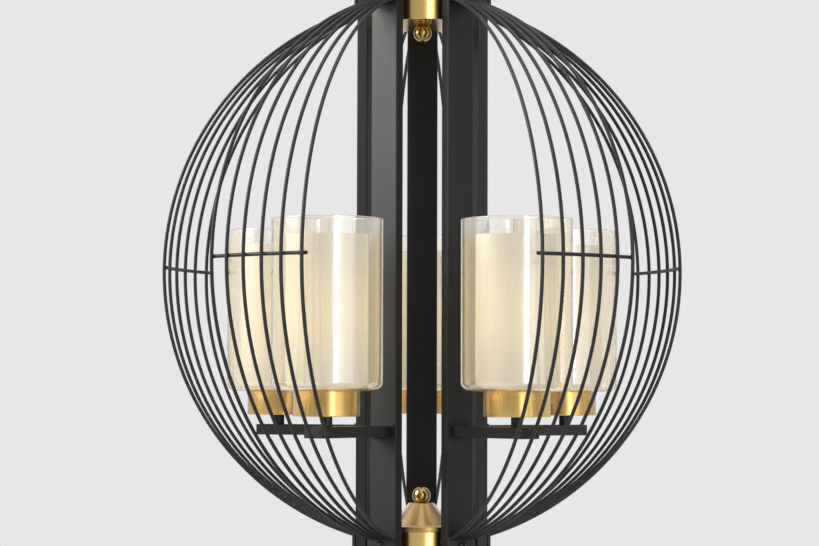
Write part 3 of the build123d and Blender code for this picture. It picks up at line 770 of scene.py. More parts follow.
BLACK_COAT = PowderCoat("black_powder_coat")
BLACK_WIRE = PowderCoat(
    "black_coated_wire",
    tone=(0.013, 0.0115, 0.011),
    cloud_tone=(0.019, 0.017, 0.016),
    roughness=0.45,
    peel_scale=1400.0,
    peel_depth=0.00004,
)
BLACK_CANOPY = PowderCoat(
    "black_canopy_coat", tone=(0.010, 0.010, 0.0105), cloud_tone=(0.014, 0.014, 0.0145), roughness=0.38
)
BLACK_SCREW = PowderCoat(
    "blackened_screw",
    tone=(0.009, 0.009, 0.0095),
    cloud_tone=(0.015, 0.0145, 0.0145),
    roughness=0.30,
    peel_scale=2400.0,
    peel_depth=0.00002,
)
SATIN_BRASS = Brass("satin_brass_turned")
MIRROR_BRASS = Brass(
    "polished_brass",
    tone=(0.80, 0.51, 0.15),
    deep_tone=(0.77, 0.48, 0.135),
    roughness=0.15,
    smudge_roughness=0.04,
    lacquer=0.0,
)
DRUM_BRASS = Brass(
    "polished_drum_brass",
    tone=(0.83, 0.575, 0.215),
    deep_tone=(0.79, 0.54, 0.195),
    roughness=0.24,
    lines_depth=0.0000005,
    lacquer=0.2,
)
SPUN_BRASS = Brass(
    "spun_brass_cap",
    tone=(0.41, 0.255, 0.10),
    deep_tone=(0.385, 0.24, 0.09),
    roughness=0.36,
    smudge_roughness=0.04,
    lines_depth=0.0000008,
    lacquer=0.2,
    # painted reflection of the bright room, paler towards the cap's outline
    painted_reflection_tone=(1.0, 0.80, 0.62),
)
BALL_BRASS = Brass(
    "dark_polished_brass",
    tone=(0.44, 0.285, 0.105),
    deep_tone=(0.42, 0.27, 0.095),
    roughness=0.22,
    smudge_roughness=0.04,
    lines_depth=0.0000005,
    lacquer=0.0,
)
PLATED_STEEL = Steel("zinc_plated_steel")
BULB_CAP = Steel("nickel_bulb_cap", tone=(0.60, 0.58, 0.54), cloud_tone=(0.48, 0.46, 0.42), roughness=0.22)
WHITE_RING = Moulded(
    "white_enamelled_ring", tone=(0.78, 0.78, 0.75), cloud_tone=(0.70, 0.70, 0.66), roughness=0.35
)
WHITE_BODY = Moulded("white_holder_ceramic")
DARK_SEAL = Moulded(
    "dark_glass_seal", tone=(0.02, 0.02, 0.025), cloud_tone=(0.03, 0.03, 0.03), roughness=0.15
)
CHAMPAGNE_GLASS = ClearGlass("champagne_clear_glass")
OPAL_GLASS = OpalGlass("opal_lit_glass")
FROSTED_BULB = BulbGlass("frosted_bulb_glass")
ROOM_FLOOR = PaleFloor("pale_floor")


def around(radius: float, height: float, angle: float) -> Vector:
    """The point at a radius from the Z axis, at a height and an angle round it."""
    return Vector((radius * cos(angle), radius * sin(angle), height))


def ring_faces(rings: int, sides: int) -> list[tuple[int, ...]]:
    """Join rings of points with four-sided faces.

    Args:
        rings: How many rings there are.
        sides: How many points each has.

    Returns:
        The faces, as numbers of the points.
    """
    faces: list[tuple[int, ...]] = []
    for ring in range(rings - 1):
        for corner in range(sides):
            here = ring * sides + corner
            beside = ring * sides + (corner + 1) % sides
            faces.append((here, beside, beside + sides, here + sides))
    return faces


def closed_faces(rings: int, sides: int) -> list[tuple[int, ...]]:
    """Join rings of points and close both ends.

    Args:
        rings: How many rings there are.
        sides: How many points each has.

    Returns:
        The faces, as numbers of the points.
    """
    last = (rings - 1) * sides
    ends = [tuple(reversed(range(sides))), tuple(last + corner for corner in range(sides))]
    return ring_faces(rings, sides) + ends


class Form:
    """Vertices and faces that grow piece by piece into one mesh."""

    def __init__(self) -> None:
        """Start with an empty mesh."""
        self.vertices: list[Vector] = []
        self.faces: list[tuple[int, ...]] = []
        self.finishes: list[int] = []

    def add(
        self, points: list[Vector], faces: list[tuple[int, ...]], place: Matrix, finish: int = 0
    ) -> None:
        """Add vertices and faces.

        Args:
            points: The vertices, before they are placed.
            faces: The faces, as numbers of those vertices.
            place: Where they go.
            finish: The number of their material slot.
        """
        first = len(self.vertices)
        self.vertices.extend(place @ point for point in points)
        self.faces.extend(tuple(first + corner for corner in face) for face in faces)
        self.finishes.extend([finish] * len(faces))

    def lathe(
        self,
        outline: list[Point],
        place: Matrix,
        steps: int = 96,
        closed: bool = True,
        finish: int = 0,
    ) -> None:
        """Turn an outline of (radius, height) points round the Z axis.

        Args:
            outline: The points, with the material on the left of their way.
            place: Where the turned form goes.
            steps: How many steps the turn has.
            closed: Whether the last point joins the first one.
            finish: The number of the material slot.
        """
        points: list[Vector] = []
        rows: list[list[int]] = []
        for radius, height in outline:
            if radius < ON_AXIS:
                rows.append([len(points)] * steps)
                points.append(Vector((0, 0, height)))
                continue
            rows.append([len(points) + step for step in range(steps)])
            points += [around(radius, height, 2 * pi * step / steps) for step in range(steps)]
        faces = []
        pairs = list(zip(rows, rows[1:]))
        if closed:
            pairs.append((rows[-1], rows[0]))
        for low, high in pairs:
            for step in range(steps):
                after = (step + 1) % steps
                corners = (low[step], low[after], high[after], high[step])
                single = tuple(dict.fromkeys(corners))
                if len(single) > 2:
                    faces.append(single)
        self.add(points, faces, place, finish)

    def tube(
        self, path: list[Vector], outwards: list[Vector], radius: float, place: Matrix, sides: int = 12
    ) -> None:
        """Sweep a round section along a path and close both its ends.

        Args:
            path: The points of the middle line.
            outwards: A direction across the line at each point.
            radius: The section's radius.
            place: Where the tube goes.
            sides: How many sides the section has.
        """
        points: list[Vector] = []
        for index, middle in enumerate(path):
            before = path[max(index - 1, 0)]
            after = path[min(index + 1, len(path) - 1)]
            along = (after - before).normalized()
            side = along.cross(outwards[index]).normalized()
            across = side.cross(along).normalized()
            for corner in range(sides):
                angle = 2 * pi * corner / sides
                points.append(middle + (across * cos(angle) + side * sin(angle)) * radius)
        self.add(points, closed_faces(len(path), sides), place)

    def slab(self, outline: list[Point], near: float, far: float, edge: float, place: Matrix) -> None:
        """Raise an outline of (y, z) points along X, with small rounded edges.

        Args:
            outline: The points, counter-clockwise seen from +X.
            near: Where the slab starts along X.
            far: Where it ends.
            edge: How far its edges are rounded.
            place: Where the slab goes.
        """
        middle = Vector((sum(y for y, _ in outline), sum(z for _, z in outline))) / len(outline)
        part = edge * HALFWAY_SHARE
        rings = [(near, edge), (near + part, part), (near + edge, 0.0)]
        rings += [(far - edge, 0.0), (far - part, part), (far, edge)]
        points = []
        for across, inset in rings:
            for y, z in outline:
                inward = (middle - Vector((y, z))).normalized() * inset
                points.append(Vector((across, y + inward.x, z + inward.y)))
        self.add(points, closed_faces(len(rings), len(outline)), place)

    def bead(self, middle: Vector, size: Triple, place: Matrix, sides: int = 10, rows: int = 6) -> None:
        """Add a flattened bead of weld metal.

        Args:
            middle: The bead's middle.
            size: Its half lengths along X, Y and Z.
            place: Where the bead goes.
            sides: How many sides it has.
            rows: How many rows of faces lie between its ends.
        """
        turns = [pi * row / rows for row in range(rows + 1)]
        outline = [(sin(turn), -cos(turn)) for turn in turns]
        shrink = Matrix.Diagonal((*size, 1.0))
        self.lathe(outline, place @ Matrix.Translation(middle) @ shrink, sides, closed=False)

    def piece(
        self, name: str, body: str, finishes: list[Finish], crease: float = 32.0
    ) -> bpy.types.Object:
        """Make the object, give it its finishes and let it ride on a body.

        Args:
            name: The object's name.
            body: The body it moves with.
            finishes: The finishes of its material slots, in order.
            crease: The angle in degrees over which an edge stays sharp.

        Returns:
            The new object.
        """
        mesh = bpy.data.meshes.new(name)
        mesh.from_pydata([tuple(vertex) for vertex in self.vertices], [], self.faces)
        for finish in finishes:
            mesh.materials.append(finish.material())
        mesh.polygons.foreach_set("material_index", self.finishes)
        mesh.validate()
        mesh.shade_smooth()
        mesh.set_sharp_from_angle(angle=radians(crease))
        made = bpy.data.objects.new(name, mesh)
        bpy.context.scene.collection.objects.link(made)
        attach(made, body)
        return made


def rounded(corners: list[Corner], closed: bool = True, steps: int = 6) -> list[Point]:
    """Round the corners of an outline.

    Args:
        corners: The (radius, height, rounding) of each corner.
        closed: Whether the last corner joins the first one.
        steps: How many steps each rounding has.

    Returns:
        The (radius, height) points of the rounded outline.
    """
    points: list[Point] = []
    count = len(corners)
    for index, (radius, height, rounding) in enumerate(corners):
        at_end = not closed and index in (0, count - 1)
        if rounding == 0 or at_end:
            points.append((radius, height))
            continue
        here = Vector((radius, height))
        before = (Vector(corners[index - 1][:2]) - here).normalized()
        after = (Vector(corners[(index + 1) % count][:2]) - here).normalized()
        half = before.angle(after) / 2
        middle = here + (before + after).normalized() * rounding / sin(half)
        start = here + before * rounding / tan(half) - middle
        end = here + after * rounding / tan(half) - middle
        turn = atan2(start.x * end.y - start.y * end.x, start.dot(end))
        for step in range(steps + 1):
            angle = turn * step / steps
            across = middle.x + start.x * cos(angle) - start.y * sin(angle)
            points.append((across, middle.y + start.x * sin(angle) + start.y * cos(angle)))
    return points


class SmoothFacets:
    """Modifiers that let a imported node's fine facets shade as one round surface."""

    name: str = "smooth_over_facets"
    sharp_angle: float = radians(28.0)
    bevel_angle: float = radians(40.0)
    bevel_segments: int = 2
    weld_distance: float = 0.000002
    flat_weight: int = 100

    def tree(self) -> bpy.types.NodeTree:
        """Find the modifier's node group or build it.

        Returns:
            The geometry node group.
        """
        found = bpy.data.node_groups.get(self.name)
        if found:
            return found
        tree = bpy.data.node_groups.new(self.name, "GeometryNodeTree")
        tree.interface.new_socket("Geometry", in_out="INPUT", socket_type="NodeSocketGeometry")
        tree.interface.new_socket("Geometry", in_out="OUTPUT", socket_type="NodeSocketGeometry")
        graph = Graph(tree)
        given = graph.add("NodeGroupInput").outputs[0]
        inputs = {"Geometry": given, "Shade Smooth": True}
        faces = graph.add("GeometryNodeSetShadeSmooth", inputs, domain="FACE").outputs[0]
        angle = graph.add("GeometryNodeInputMeshEdgeAngle").outputs["Unsigned Angle"]
        compared = {0: angle, 1: self.sharp_angle}
        sharp = graph.add("FunctionNodeCompare", compared, operation="GREATER_THAN").outputs[0]
        inputs = {"Geometry": faces, "Selection": sharp, "Shade Smooth": False}
        edges = graph.add("GeometryNodeSetShadeSmooth", inputs, domain="EDGE")
        graph.add("NodeGroupOutput", {0: edges.outputs[0]})
        return tree

    def apply(self, node: bpy.types.Object, edge: Edge) -> None:
        """Weld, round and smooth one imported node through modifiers.

        Args:
            node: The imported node.
            edge: How much its sharp edges are rounded.
        """
        weld = node.modifiers.new("weld", "WELD")
        weld.merge_threshold = self.weld_distance
        if edge is not Edge.NONE:
            bevel = node.modifiers.new("edge", "BEVEL")
            bevel.width = edge.value
            bevel.segments = self.bevel_segments
            bevel.limit_method = "ANGLE"
            bevel.angle_limit = self.bevel_angle
        smooth = node.modifiers.new("smooth", "NODES")
        smooth.node_group = self.tree()
        flat = node.modifiers.new("flat_faces", "WEIGHTED_NORMAL")
        flat.keep_sharp = True
        flat.weight = self.flat_weight


@dataclass
class WireFans:
    """The five fans of bent wire with their equator bars, brackets and welds."""

    globe: Globe = field(default_factory=Globe)
    radius: float = 0.296
    wires: int = 6
    wire_radius: float = 0.002
    pitch: float = radians(4.7)
    end_height: float = 0.2975
    end_pitch: float = 0.0054
    bracket_inner: float = 0.0725
    bracket_outer: float = 0.0759
    bracket_width: float = 0.0365
    bracket_start: float = 0.295
    bracket_height: float = 0.024
    bracket_corner: float = 0.003
    bracket_foot_corner: float = 0.0005
    bracket_edge: float = 0.0004
    bar_inset: float = 0.0036
    bar_height: float = 0.004
    bar_overhang: float = radians(0.8)
    foot_weld: Triple = (0.0011, 0.0027, 0.0029)
    bar_weld: Triple = (0.0013, 0.0022, 0.0026)
    weld_depth: float = 0.0018
    wire_rows: int = 72
    bar_rows: int = 24

    def wire(self, form: Form, number: int, place: Matrix) -> None:
        """Add one bent wire, with a weld at the bar and at both its feet.

        Args:
            form: The mesh that grows.
            number: The wire's number, from 0.
            place: The sector's place.
        """
        step = number - (self.wires - 1) / 2
        angle = step * self.pitch
        equator = around(self.radius, 0.0, angle)
        foot = Vector(((self.bracket_inner + self.bracket_outer) / 2, step * self.end_pitch, 0))
        bulge = (equator - foot).length
        outward = (equator - foot).normalized()
        arc_radius = (self.end_height**2 + bulge**2) / (2 * bulge)
        half_angle = atan2(self.end_height, arc_radius - bulge)
        centre = equator - outward * arc_radius
        path = []
        across = []
        for row in range(self.wire_rows + 1):
            turn = half_angle * (2 * row / self.wire_rows - 1)
            direction = outward * cos(turn) + Vector((0, 0, sin(turn)))
            path.append(centre + direction * arc_radius)
            across.append(direction)
        form.tube(path, across, self.wire_radius, place)
        for side in (-1, 1):
            reach = (self.bracket_outer - foot.x) / outward.x
            slope = cos(half_angle) / sin(half_angle)
            seat = foot + outward * reach
            seat.z = side * (self.end_height - reach * slope)
            form.bead(seat, self.foot_weld, place)
        crossing = around(self.radius - self.weld_depth, self.bar_height, angle)
        form.bead(crossing, self.bar_weld, place)

    def bar(self, form: Form, place: Matrix) -> None:
        """Add the bar along the equator, inside the wires.

        Args:
            form: The mesh that grows.
            place: The sector's place.
        """
        half = self.pitch * (self.wires - 1) / 2 + self.bar_overhang
        radius = self.radius - self.bar_inset
        turns = [half * (2 * row / self.bar_rows - 1) for row in range(self.bar_rows + 1)]
        path = [around(radius, self.bar_height, turn) for turn in turns]
        across = [around(1.0, 0.0, turn) for turn in turns]
        form.tube(path, across, self.wire_radius, place)

    def bracket(self, form: Form, place: Matrix, side: int) -> None:
        """Add one bracket plate.

        Args:
            form: The mesh that grows.
            place: The sector's place.
            side: 1 for the upper plate, -1 for the lower one.
        """
        half = self.bracket_width / 2
        low = self.bracket_start
        high = low + self.bracket_height
        foot = self.bracket_foot_corner
        corner = self.bracket_corner
        corners = [(-half, low, foot), (half, low, foot), (half, high, corner), (-half, high, corner)]
        outline = rounded(corners)
        if side < 0:
            outline = [(y, -z) for y, z in reversed(outline)]
        form.slab(outline, self.bracket_inner, self.bracket_outer, self.bracket_edge, place)

    def build(self) -> None:
        """Make the five fans."""
        for number in self.globe.numbers():
            place = self.globe.sector(number)
            form = Form()
            for wire in range(self.wires):
                self.wire(form, wire, place)
            self.bar(form, place)
            self.bracket(form, place, 1)
            self.bracket(form, place, -1)
            fan = form.piece(f"wire_fan_{number}", Body.LAMP.value, [BLACK_WIRE])
            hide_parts(f"cage_panel_{number}")
            log.info("wire fan %d", number)


@dataclass
class CageScrews:
    """The ten button-head screws through the bracket plates."""

    globe: Globe = field(default_factory=Globe)
    seat: float = 0.0759
    height: float = 0.305
    head_radius: float = 0.00525
    head_height: float = 0.0033
    foot_share: float = 0.97
    foot_height: float = 0.0002
    dome_height: float = 0.0005
    dome_start: float = radians(12.0)
    dome_turn: float = radians(60.0)
    dome_rows: int = 8
    socket_width: float = 0.004
    socket_depth: float = 0.0019
    socket_edge: float = 0.0002
    shank_radius: float = 0.00295
    tip: float = 0.0406
    head_steps: int = 48
    shank_steps: int = 24

    def head(self, form: Form, place: Matrix) -> None:
        """Add a domed head with its hexagon socket, along +Z from its seat.

        Args:
            form: The mesh that grows.
            place: Where the screw goes.
        """
        steps = self.head_steps
        angles = [2 * pi * step / steps for step in range(steps)]
        rows = [(self.head_radius * self.foot_share, 0.0), (self.head_radius, self.foot_height)]
        for row in range(self.dome_rows + 1):
            turn = self.dome_start + self.dome_turn * row / self.dome_rows
            rows.append((self.head_radius * cos(turn) / cos(self.dome_start), self.dome(turn)))
        points: list[Vector] = []
        for radius, height in rows:
            points += [around(radius, height, angle) for angle in angles]
        for depth in (self.socket_edge, self.socket_depth):
            points += [self.hexagon_point(self.head_height - depth, angle) for angle in angles]
        rings = len(rows) + 2
        floor = tuple((rings - 1) * steps + step for step in range(steps))
        form.add(points, ring_faces(rings, steps) + [floor], place)

    def dome(self, turn: float) -> float:
        """The height of the dome.

        Args:
            turn: The turn up from the middle of the dome's arc.

        Returns:
            The height over the seat.
        """
        low = sin(self.dome_start)
        high = sin(self.dome_start + self.dome_turn)
        rise = self.head_height - self.dome_height
        return self.dome_height + rise * (sin(turn) - low) / (high - low)

    def hexagon_point(self, height: float, angle: float) -> Vector:
        """A point on the wall of the hexagon socket.

        Args:
            height: Its height over the seat.
            angle: Its angle round the screw.

        Returns:
            The point.
        """
        off_flat = (angle + pi / 6) % (pi / 3) - pi / 6
        return around(self.socket_width / 2 / cos(off_flat), height, angle)

    def build(self) -> None:
        """Make all the screws as one piece."""
        form = Form()
        end = self.tip - self.seat
        shank = [(0.0, end), (self.shank_radius, end), (self.shank_radius, 0.0)]
        for number in self.globe.numbers():
            for side in (-1, 1):
                seat = Matrix.Translation((self.seat, 0, side * self.height))
                place = self.globe.sector(number) @ seat @ Matrix.Rotation(pi / 2, 4, "Y")
                self.head(form, place)
                form.lathe(shank, place, self.shank_steps, closed=False)
        screws = form.piece("domed_cage_screws", Body.LAMP.value, [BLACK_SCREW])
        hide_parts("cage_screws")
        log.info("cage screws")


@dataclass
class LampGlasses:
    """The tall clear glass and the opal shade inside it, on each of the five lamps."""

    globe: Globe = field(default_factory=Globe)
    floor_hole: float = 0.0145
    glass_radius: float = 0.060
    glass_floor: float = -0.136
    glass_top: float = 0.0477
    glass_corner: float = 0.010
    shade_radius: float = 0.044
    shade_floor: float = -0.1335
    shade_top: float = 0.0295
    shade_corner: float = 0.005
    wall: float = 0.0025
    glass_lip: float = 0.00118
    shade_lip: float = 0.0009
    hole_corner: float = 0.0004
    corner_steps: int = 10
    glass_steps: int = 160
    shade_steps: int = 128

    def outline(self, radius: float, floor: float, top: float, corner: float, lip: float) -> list[Point]:
        """The section of one glass, with a fire-polished lip.

        Args:
            radius: The outer radius.
            floor: The height of its underside.
            top: The height of its lip.
            corner: The outer rounding at its foot.
            lip: The rounding of its lip.

        Returns:
            The closed outline.
        """
        inner = radius - self.wall
        return rounded(
            [
                (self.floor_hole, floor, self.hole_corner),
                (radius, floor, corner),
                (radius, top, lip),
                (inner, top, lip),
                (inner, floor + self.wall, corner - self.wall),
                (self.floor_hole, floor + self.wall, self.hole_corner),
            ],
            steps=self.corner_steps,
        )

    def build(self) -> None:
        """Make both glasses of every lamp."""
        clear = self.outline(
            self.glass_radius, self.glass_floor, self.glass_top, self.glass_corner, self.glass_lip
        )
        opal = self.outline(
            self.shade_radius, self.shade_floor, self.shade_top, self.shade_corner, self.shade_lip
        )
        for number in self.globe.numbers():
            place = self.globe.lamp(number)
            form = Form()
            form.lathe(clear, place, self.glass_steps)
            glass = form.piece(
                f"clear_glass_{number}", Body.LAMP.value, [CHAMPAGNE_GLASS]
            )
            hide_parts(f"outer_glass_{number}")
            form = Form()
            form.lathe(opal, place, self.shade_steps)
            shade = form.piece(f"opal_shade_{number}", Body.LAMP.value, [OPAL_GLASS])
            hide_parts(f"inner_shade_{number}")
            log.info("glasses %d", number)


@dataclass
class Cups:
    """The five turned brass cups under the glasses."""

    globe: Globe = field(default_factory=Globe)
    radius: float = 0.036
    bottom: float = -0.163
    height: float = 0.027
    wall: float = 0.0015
    hole: float = 0.0053
    foot_corner: float = 0.0009
    inner_corner: float = 0.0006
    rim_outside: float = 0.0005
    rim_inside: float = 0.0003
    steps: int = 128

    def build(self) -> None:
        """Make the cups as one piece."""
        floor = self.bottom + self.wall
        top = self.bottom + self.height
        outline = rounded(
            [
                (self.hole, self.bottom, 0.0),
                (self.radius, self.bottom, self.foot_corner),
                (self.radius, top, self.rim_outside),
                (self.radius - self.wall, top, self.rim_inside),
                (self.radius - self.wall, floor, self.inner_corner),
                (self.hole, floor, 0.0),
            ]
        )
        form = Form()
        for number in self.globe.numbers():
            form.lathe(outline, self.globe.lamp(number), self.steps)
        cups = form.piece("turned_cups", Body.LAMP.value, [SATIN_BRASS])
        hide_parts("lamp_cups")
        log.info("cups")


@dataclass
class Bulbs:
    """The five screw-in bulbs with their threaded caps."""

    globe: Globe = field(default_factory=Globe)
    foot: float = -0.1112
    length: float = 0.090
    radius: float = 0.0185
    neck_radius: float = 0.0105
    neck_length: float = 0.038
    dome: float = 0.0095
    cap_radius: float = 0.0069
    cap_length: float = 0.031
    thread_depth: float = 0.0006
    thread_turns: int = 7
    thread_end: float = 0.0025
    crimp: float = 0.001
    seal_height: float = 0.0035
    seal_inset: float = 0.0010
    contact_radius: float = 0.0026
    contact_height: float = 0.0006
    contact_flat: float = 0.8
    glass_gap: float = 0.0002
    rows_per_turn: int = 8
    neck_rows: int = 10
    dome_rows: int = 12
    glass_steps: int = 64
    cap_steps: int = 48

    def cap(self) -> list[Point]:
        """Draw the threaded cap.

        Returns:
            Its outline, from its seal up to the glass.
        """
        low = self.foot - self.cap_length + self.seal_height
        high = self.foot - self.thread_end
        rows = self.thread_turns * self.rows_per_turn
        points = []
        for row in range(rows + 1):
            wave = (1 - cos(2 * pi * row / self.rows_per_turn)) / 2
            radius = self.cap_radius - self.thread_depth * (1 - wave)
            points.append((radius, low + (high - low) * row / rows))
        return points + [(self.cap_radius, self.foot - self.crimp), (self.cap_radius, self.foot)]

    def envelope(self) -> list[Point]:
        """Draw the glass.

        Returns:
            Its outline, from the cap up to its crown.
        """
        top = self.foot + self.length
        points = [(self.cap_radius, self.foot)]
        for row in range(self.neck_rows + 1):
            share = row / self.neck_rows
            ease = share * share * (3 - 2 * share)
            radius = self.neck_radius + (self.radius - self.neck_radius) * ease
            points.append((radius, self.foot + self.glass_gap + self.neck_length * share))
        flat = self.radius - self.dome
        for row in range(self.dome_rows + 1):
            turn = pi / 2 * row / self.dome_rows
            points.append((flat + self.dome * cos(turn), top - self.dome * (1 - sin(turn))))
        return points + [(0.0, top)]

    def build(self) -> None:
        """Make the bulbs, each with its glass, cap, seal and contact."""
        tip = self.foot - self.cap_length
        rim = (self.contact_radius, tip + self.contact_height)
        seal = [rim, (self.cap_radius - self.seal_inset, tip + self.seal_height)]
        contact = [(0.0, tip), (self.contact_radius * self.contact_flat, tip), rim]
        for number in self.globe.numbers():
            place = self.globe.lamp(number)
            form = Form()
            form.lathe(self.envelope(), place, self.glass_steps, closed=False)
            for finish, outline in ((1, self.cap()), (2, seal), (1, contact)):
                form.lathe(outline, place, self.cap_steps, closed=False, finish=finish)
            body = Body.BULB.value.format(number=number)
            made = form.piece(f"lit_bulb_{number}", body, [FROSTED_BULB, BULB_CAP, DARK_SEAL])
            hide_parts(f"bulb_{number}")
            log.info("bulb %d", number)


@dataclass
class BrassTurnings:
    """The cap of the lower drum, the two balls and the knob under the lamp."""

    globe: Globe = field(default_factory=Globe)
    hole: float = 0.0053
    cap_top: float = -0.261
    cap_top_radius: float = 0.0143
    cone_radius: float = 0.033
    shoulder: float = -0.285
    rim_radius: float = 0.0515
    rim_height: float = 0.006
    rim_inside: float = 0.0493
    wall: float = 0.0015
    rim_inner_edge: float = 0.0003
    rim_lower_edge: float = 0.0006
    rim_upper_edge: float = 0.0008
    cone_foot: float = 0.0012
    cone_crown: float = 0.0006
    hole_edge: float = 0.0003
    cap_steps: int = 160
    ball_radius: float = 0.01025
    ball_seat: float = 0.0084
    ball_rows: int = 40
    upper_seat: float = 0.2775
    knob_top: float = -0.394
    knob_radius: float = 0.015
    knob_rim: float = 0.004
    knob_step: float = 0.0025
    knob_height: float = 0.022
    knob_tip: float = 0.003
    knob_upper_edge: float = 0.0005
    knob_lower_edge: float = 0.0008
    knob_rows: int = 24

    def cap(self) -> None:
        """Make the spun cap: a cone on a flat shoulder with a rim."""
        under = self.shoulder - self.wall
        rim = self.shoulder - self.rim_height
        outline = rounded(
            [
                (self.hole, self.cap_top - self.wall, 0.0),
                (self.cap_top_radius - self.wall / 2, self.cap_top - self.wall, 0.0),
                (self.cone_radius - self.wall / 2, under, 0.0),
                (self.rim_inside, under, 0.0),
                (self.rim_inside, rim, self.rim_inner_edge),
                (self.rim_radius, rim, self.rim_lower_edge),
                (self.rim_radius, self.shoulder, self.rim_upper_edge),
                (self.cone_radius, self.shoulder, self.cone_foot),
                (self.cap_top_radius, self.cap_top, self.cone_crown),
                (self.hole, self.cap_top, self.hole_edge),
            ]
        )
        form = Form()
        form.lathe(outline, self.globe.centre(), self.cap_steps)
        cap = form.piece("spun_lower_cap", Body.LAMP.value, [SPUN_BRASS])
        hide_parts("lower_cap")

    def balls(self) -> None:
        """Make the two balls, each cut flat on its seat."""
        form = Form()
        start = -atan2(self.ball_seat, sqrt(self.ball_radius**2 - self.ball_seat**2))
        points: list[Point] = [(0.0, 0.0)]
        for row in range(self.ball_rows + 1):
            turn = start + (pi / 2 - start) * row / self.ball_rows
            height = self.ball_seat + self.ball_radius * sin(turn)
            points.append((self.ball_radius * max(cos(turn), 0.0), height))
        seats = (
            Matrix.Translation((0, 0, self.cap_top)),
            Matrix.Translation((0, 0, self.upper_seat)) @ Matrix.Rotation(pi, 4, "X"),
        )
        for seat in seats:
            form.lathe(points, self.globe.centre() @ seat, closed=False)
        balls = form.piece("polished_balls", Body.LAMP.value, [BALL_BRASS])
        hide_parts("drum_balls")

    def knob(self) -> None:
        """Make the knob under the bottom plate."""
        neck = self.knob_top - self.knob_rim
        waist = self.knob_radius - self.knob_step
        top = rounded(
            [
                (0.0, self.knob_top, 0.0),
                (self.knob_radius, self.knob_top, self.knob_upper_edge),
                (self.knob_radius, neck, self.knob_lower_edge),
                (waist, neck - self.knob_step, 0.0),
            ],
            closed=False,
        )
        drop = self.knob_height - self.knob_rim - self.knob_step
        for row in range(1, self.knob_rows + 1):
            turn = pi / 2 * row / self.knob_rows
            radius = self.knob_tip + (waist - self.knob_tip) * cos(turn)
            top.append((radius, neck - self.knob_step - drop * sin(turn)))
        outline = list(reversed(top + [(0.0, self.knob_top - self.knob_height)]))
        form = Form()
        form.lathe(outline, self.globe.centre(), closed=False)
        knob = form.piece("turned_knob", Body.LAMP.value, [MIRROR_BRASS])
        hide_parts("bottom_knob")

    def build(self) -> None:
        """Make all three."""
        self.cap()
        self.balls()
        self.knob()
        log.info("brass turnings")


@dataclass
class PackedNodes:
    """The nodes of the frame that keep their shape and get a finish and soft edges."""

    smoothing: SmoothFacets = field(default_factory=SmoothFacets)
    plans: dict[str, tuple[Finish, Edge]] = field(
        default_factory=lambda: {
            "pillar": (BLACK_COAT, Edge.FINE),
            "arm": (BLACK_COAT, Edge.CLEAR),
            "lamp_stems": (BLACK_COAT, Edge.FINE),
            "drum_spacers": (BLACK_COAT, Edge.FINE),
            "top_plate": (BLACK_COAT, Edge.FINE),
            "bottom_plate": (BLACK_COAT, Edge.FINE),
            "arm_screws": (BLACK_SCREW, Edge.FINE),
            "plate_screws": (BLACK_SCREW, Edge.FINE),
            "lamp_holders": (WHITE_BODY, Edge.CLEAR),
            "shade_rings": (WHITE_RING, Edge.FINE),
            "drum_nuts": (PLATED_STEEL, Edge.FINE),
            "tie_rods": (PLATED_STEEL, Edge.FINE),
            "tie_rod_nuts": (PLATED_STEEL, Edge.FINE),
            "upper_drum": (DRUM_BRASS, Edge.NONE),
            "lower_drum": (DRUM_BRASS, Edge.FINE),
            "hanging_stem": (SATIN_BRASS, Edge.FINE),
            "stem_collar": (MIRROR_BRASS, Edge.CLEAR),
            "upper_fork": (MIRROR_BRASS, Edge.FINE),
            "lower_fork": (MIRROR_BRASS, Edge.FINE),
            "swivel_link": (MIRROR_BRASS, Edge.CLEAR),
            "upper_swivel_pin": (MIRROR_BRASS, Edge.FINE),
            "lower_swivel_pin": (MIRROR_BRASS, Edge.FINE),
            "canopy": (BLACK_CANOPY, Edge.CLEAR),
            "canopy_nut": (MIRROR_BRASS, Edge.FINE),
            "ceiling_bracket": (PLATED_STEEL, Edge.FINE),
            "ceiling_nipple": (PLATED_STEEL, Edge.FINE),
            "terminal_block": (WHITE_BODY, Edge.FINE),
        }
    )

    def build(self) -> None:
        """Dress every node that has a plan."""
        for name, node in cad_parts.items():
            plan = self.plans.get(name) or self.plans.get(name.rstrip("0123456789").rstrip("_"))
            if plan is None:
                continue
            finish, edge = plan
            if not node.material_slots:
                node.data.materials.append(finish.material())
            for slot in node.material_slots:
                slot.material = finish.material()
            self.smoothing.apply(node, edge)
            log.info("node %s", name)


@dataclass(frozen=True)
class SoftBox:
    """One rectangular soft light of the room."""

    name: str
    place: Triple
    size: tuple[float, float]
    power: float
    tint: Colour = (1.0, 1.0, 1.0)

    def hang(self, aim: Triple) -> None:
        """Hang the light and turn it.

        Args:
            aim: The point it faces.
        """
        data = bpy.data.lights.new(self.name, "AREA")
        data.shape = "RECTANGLE"
        data.size, data.size_y = self.size
        data.energy = self.power
        data.color = self.tint
        lamp = bpy.data.objects.new(self.name, data)
        lamp.location = self.place
        lamp.rotation_euler = (Vector(aim) - Vector(self.place)).to_track_quat("-Z", "Y").to_euler()
        bpy.context.scene.collection.objects.link(lamp)


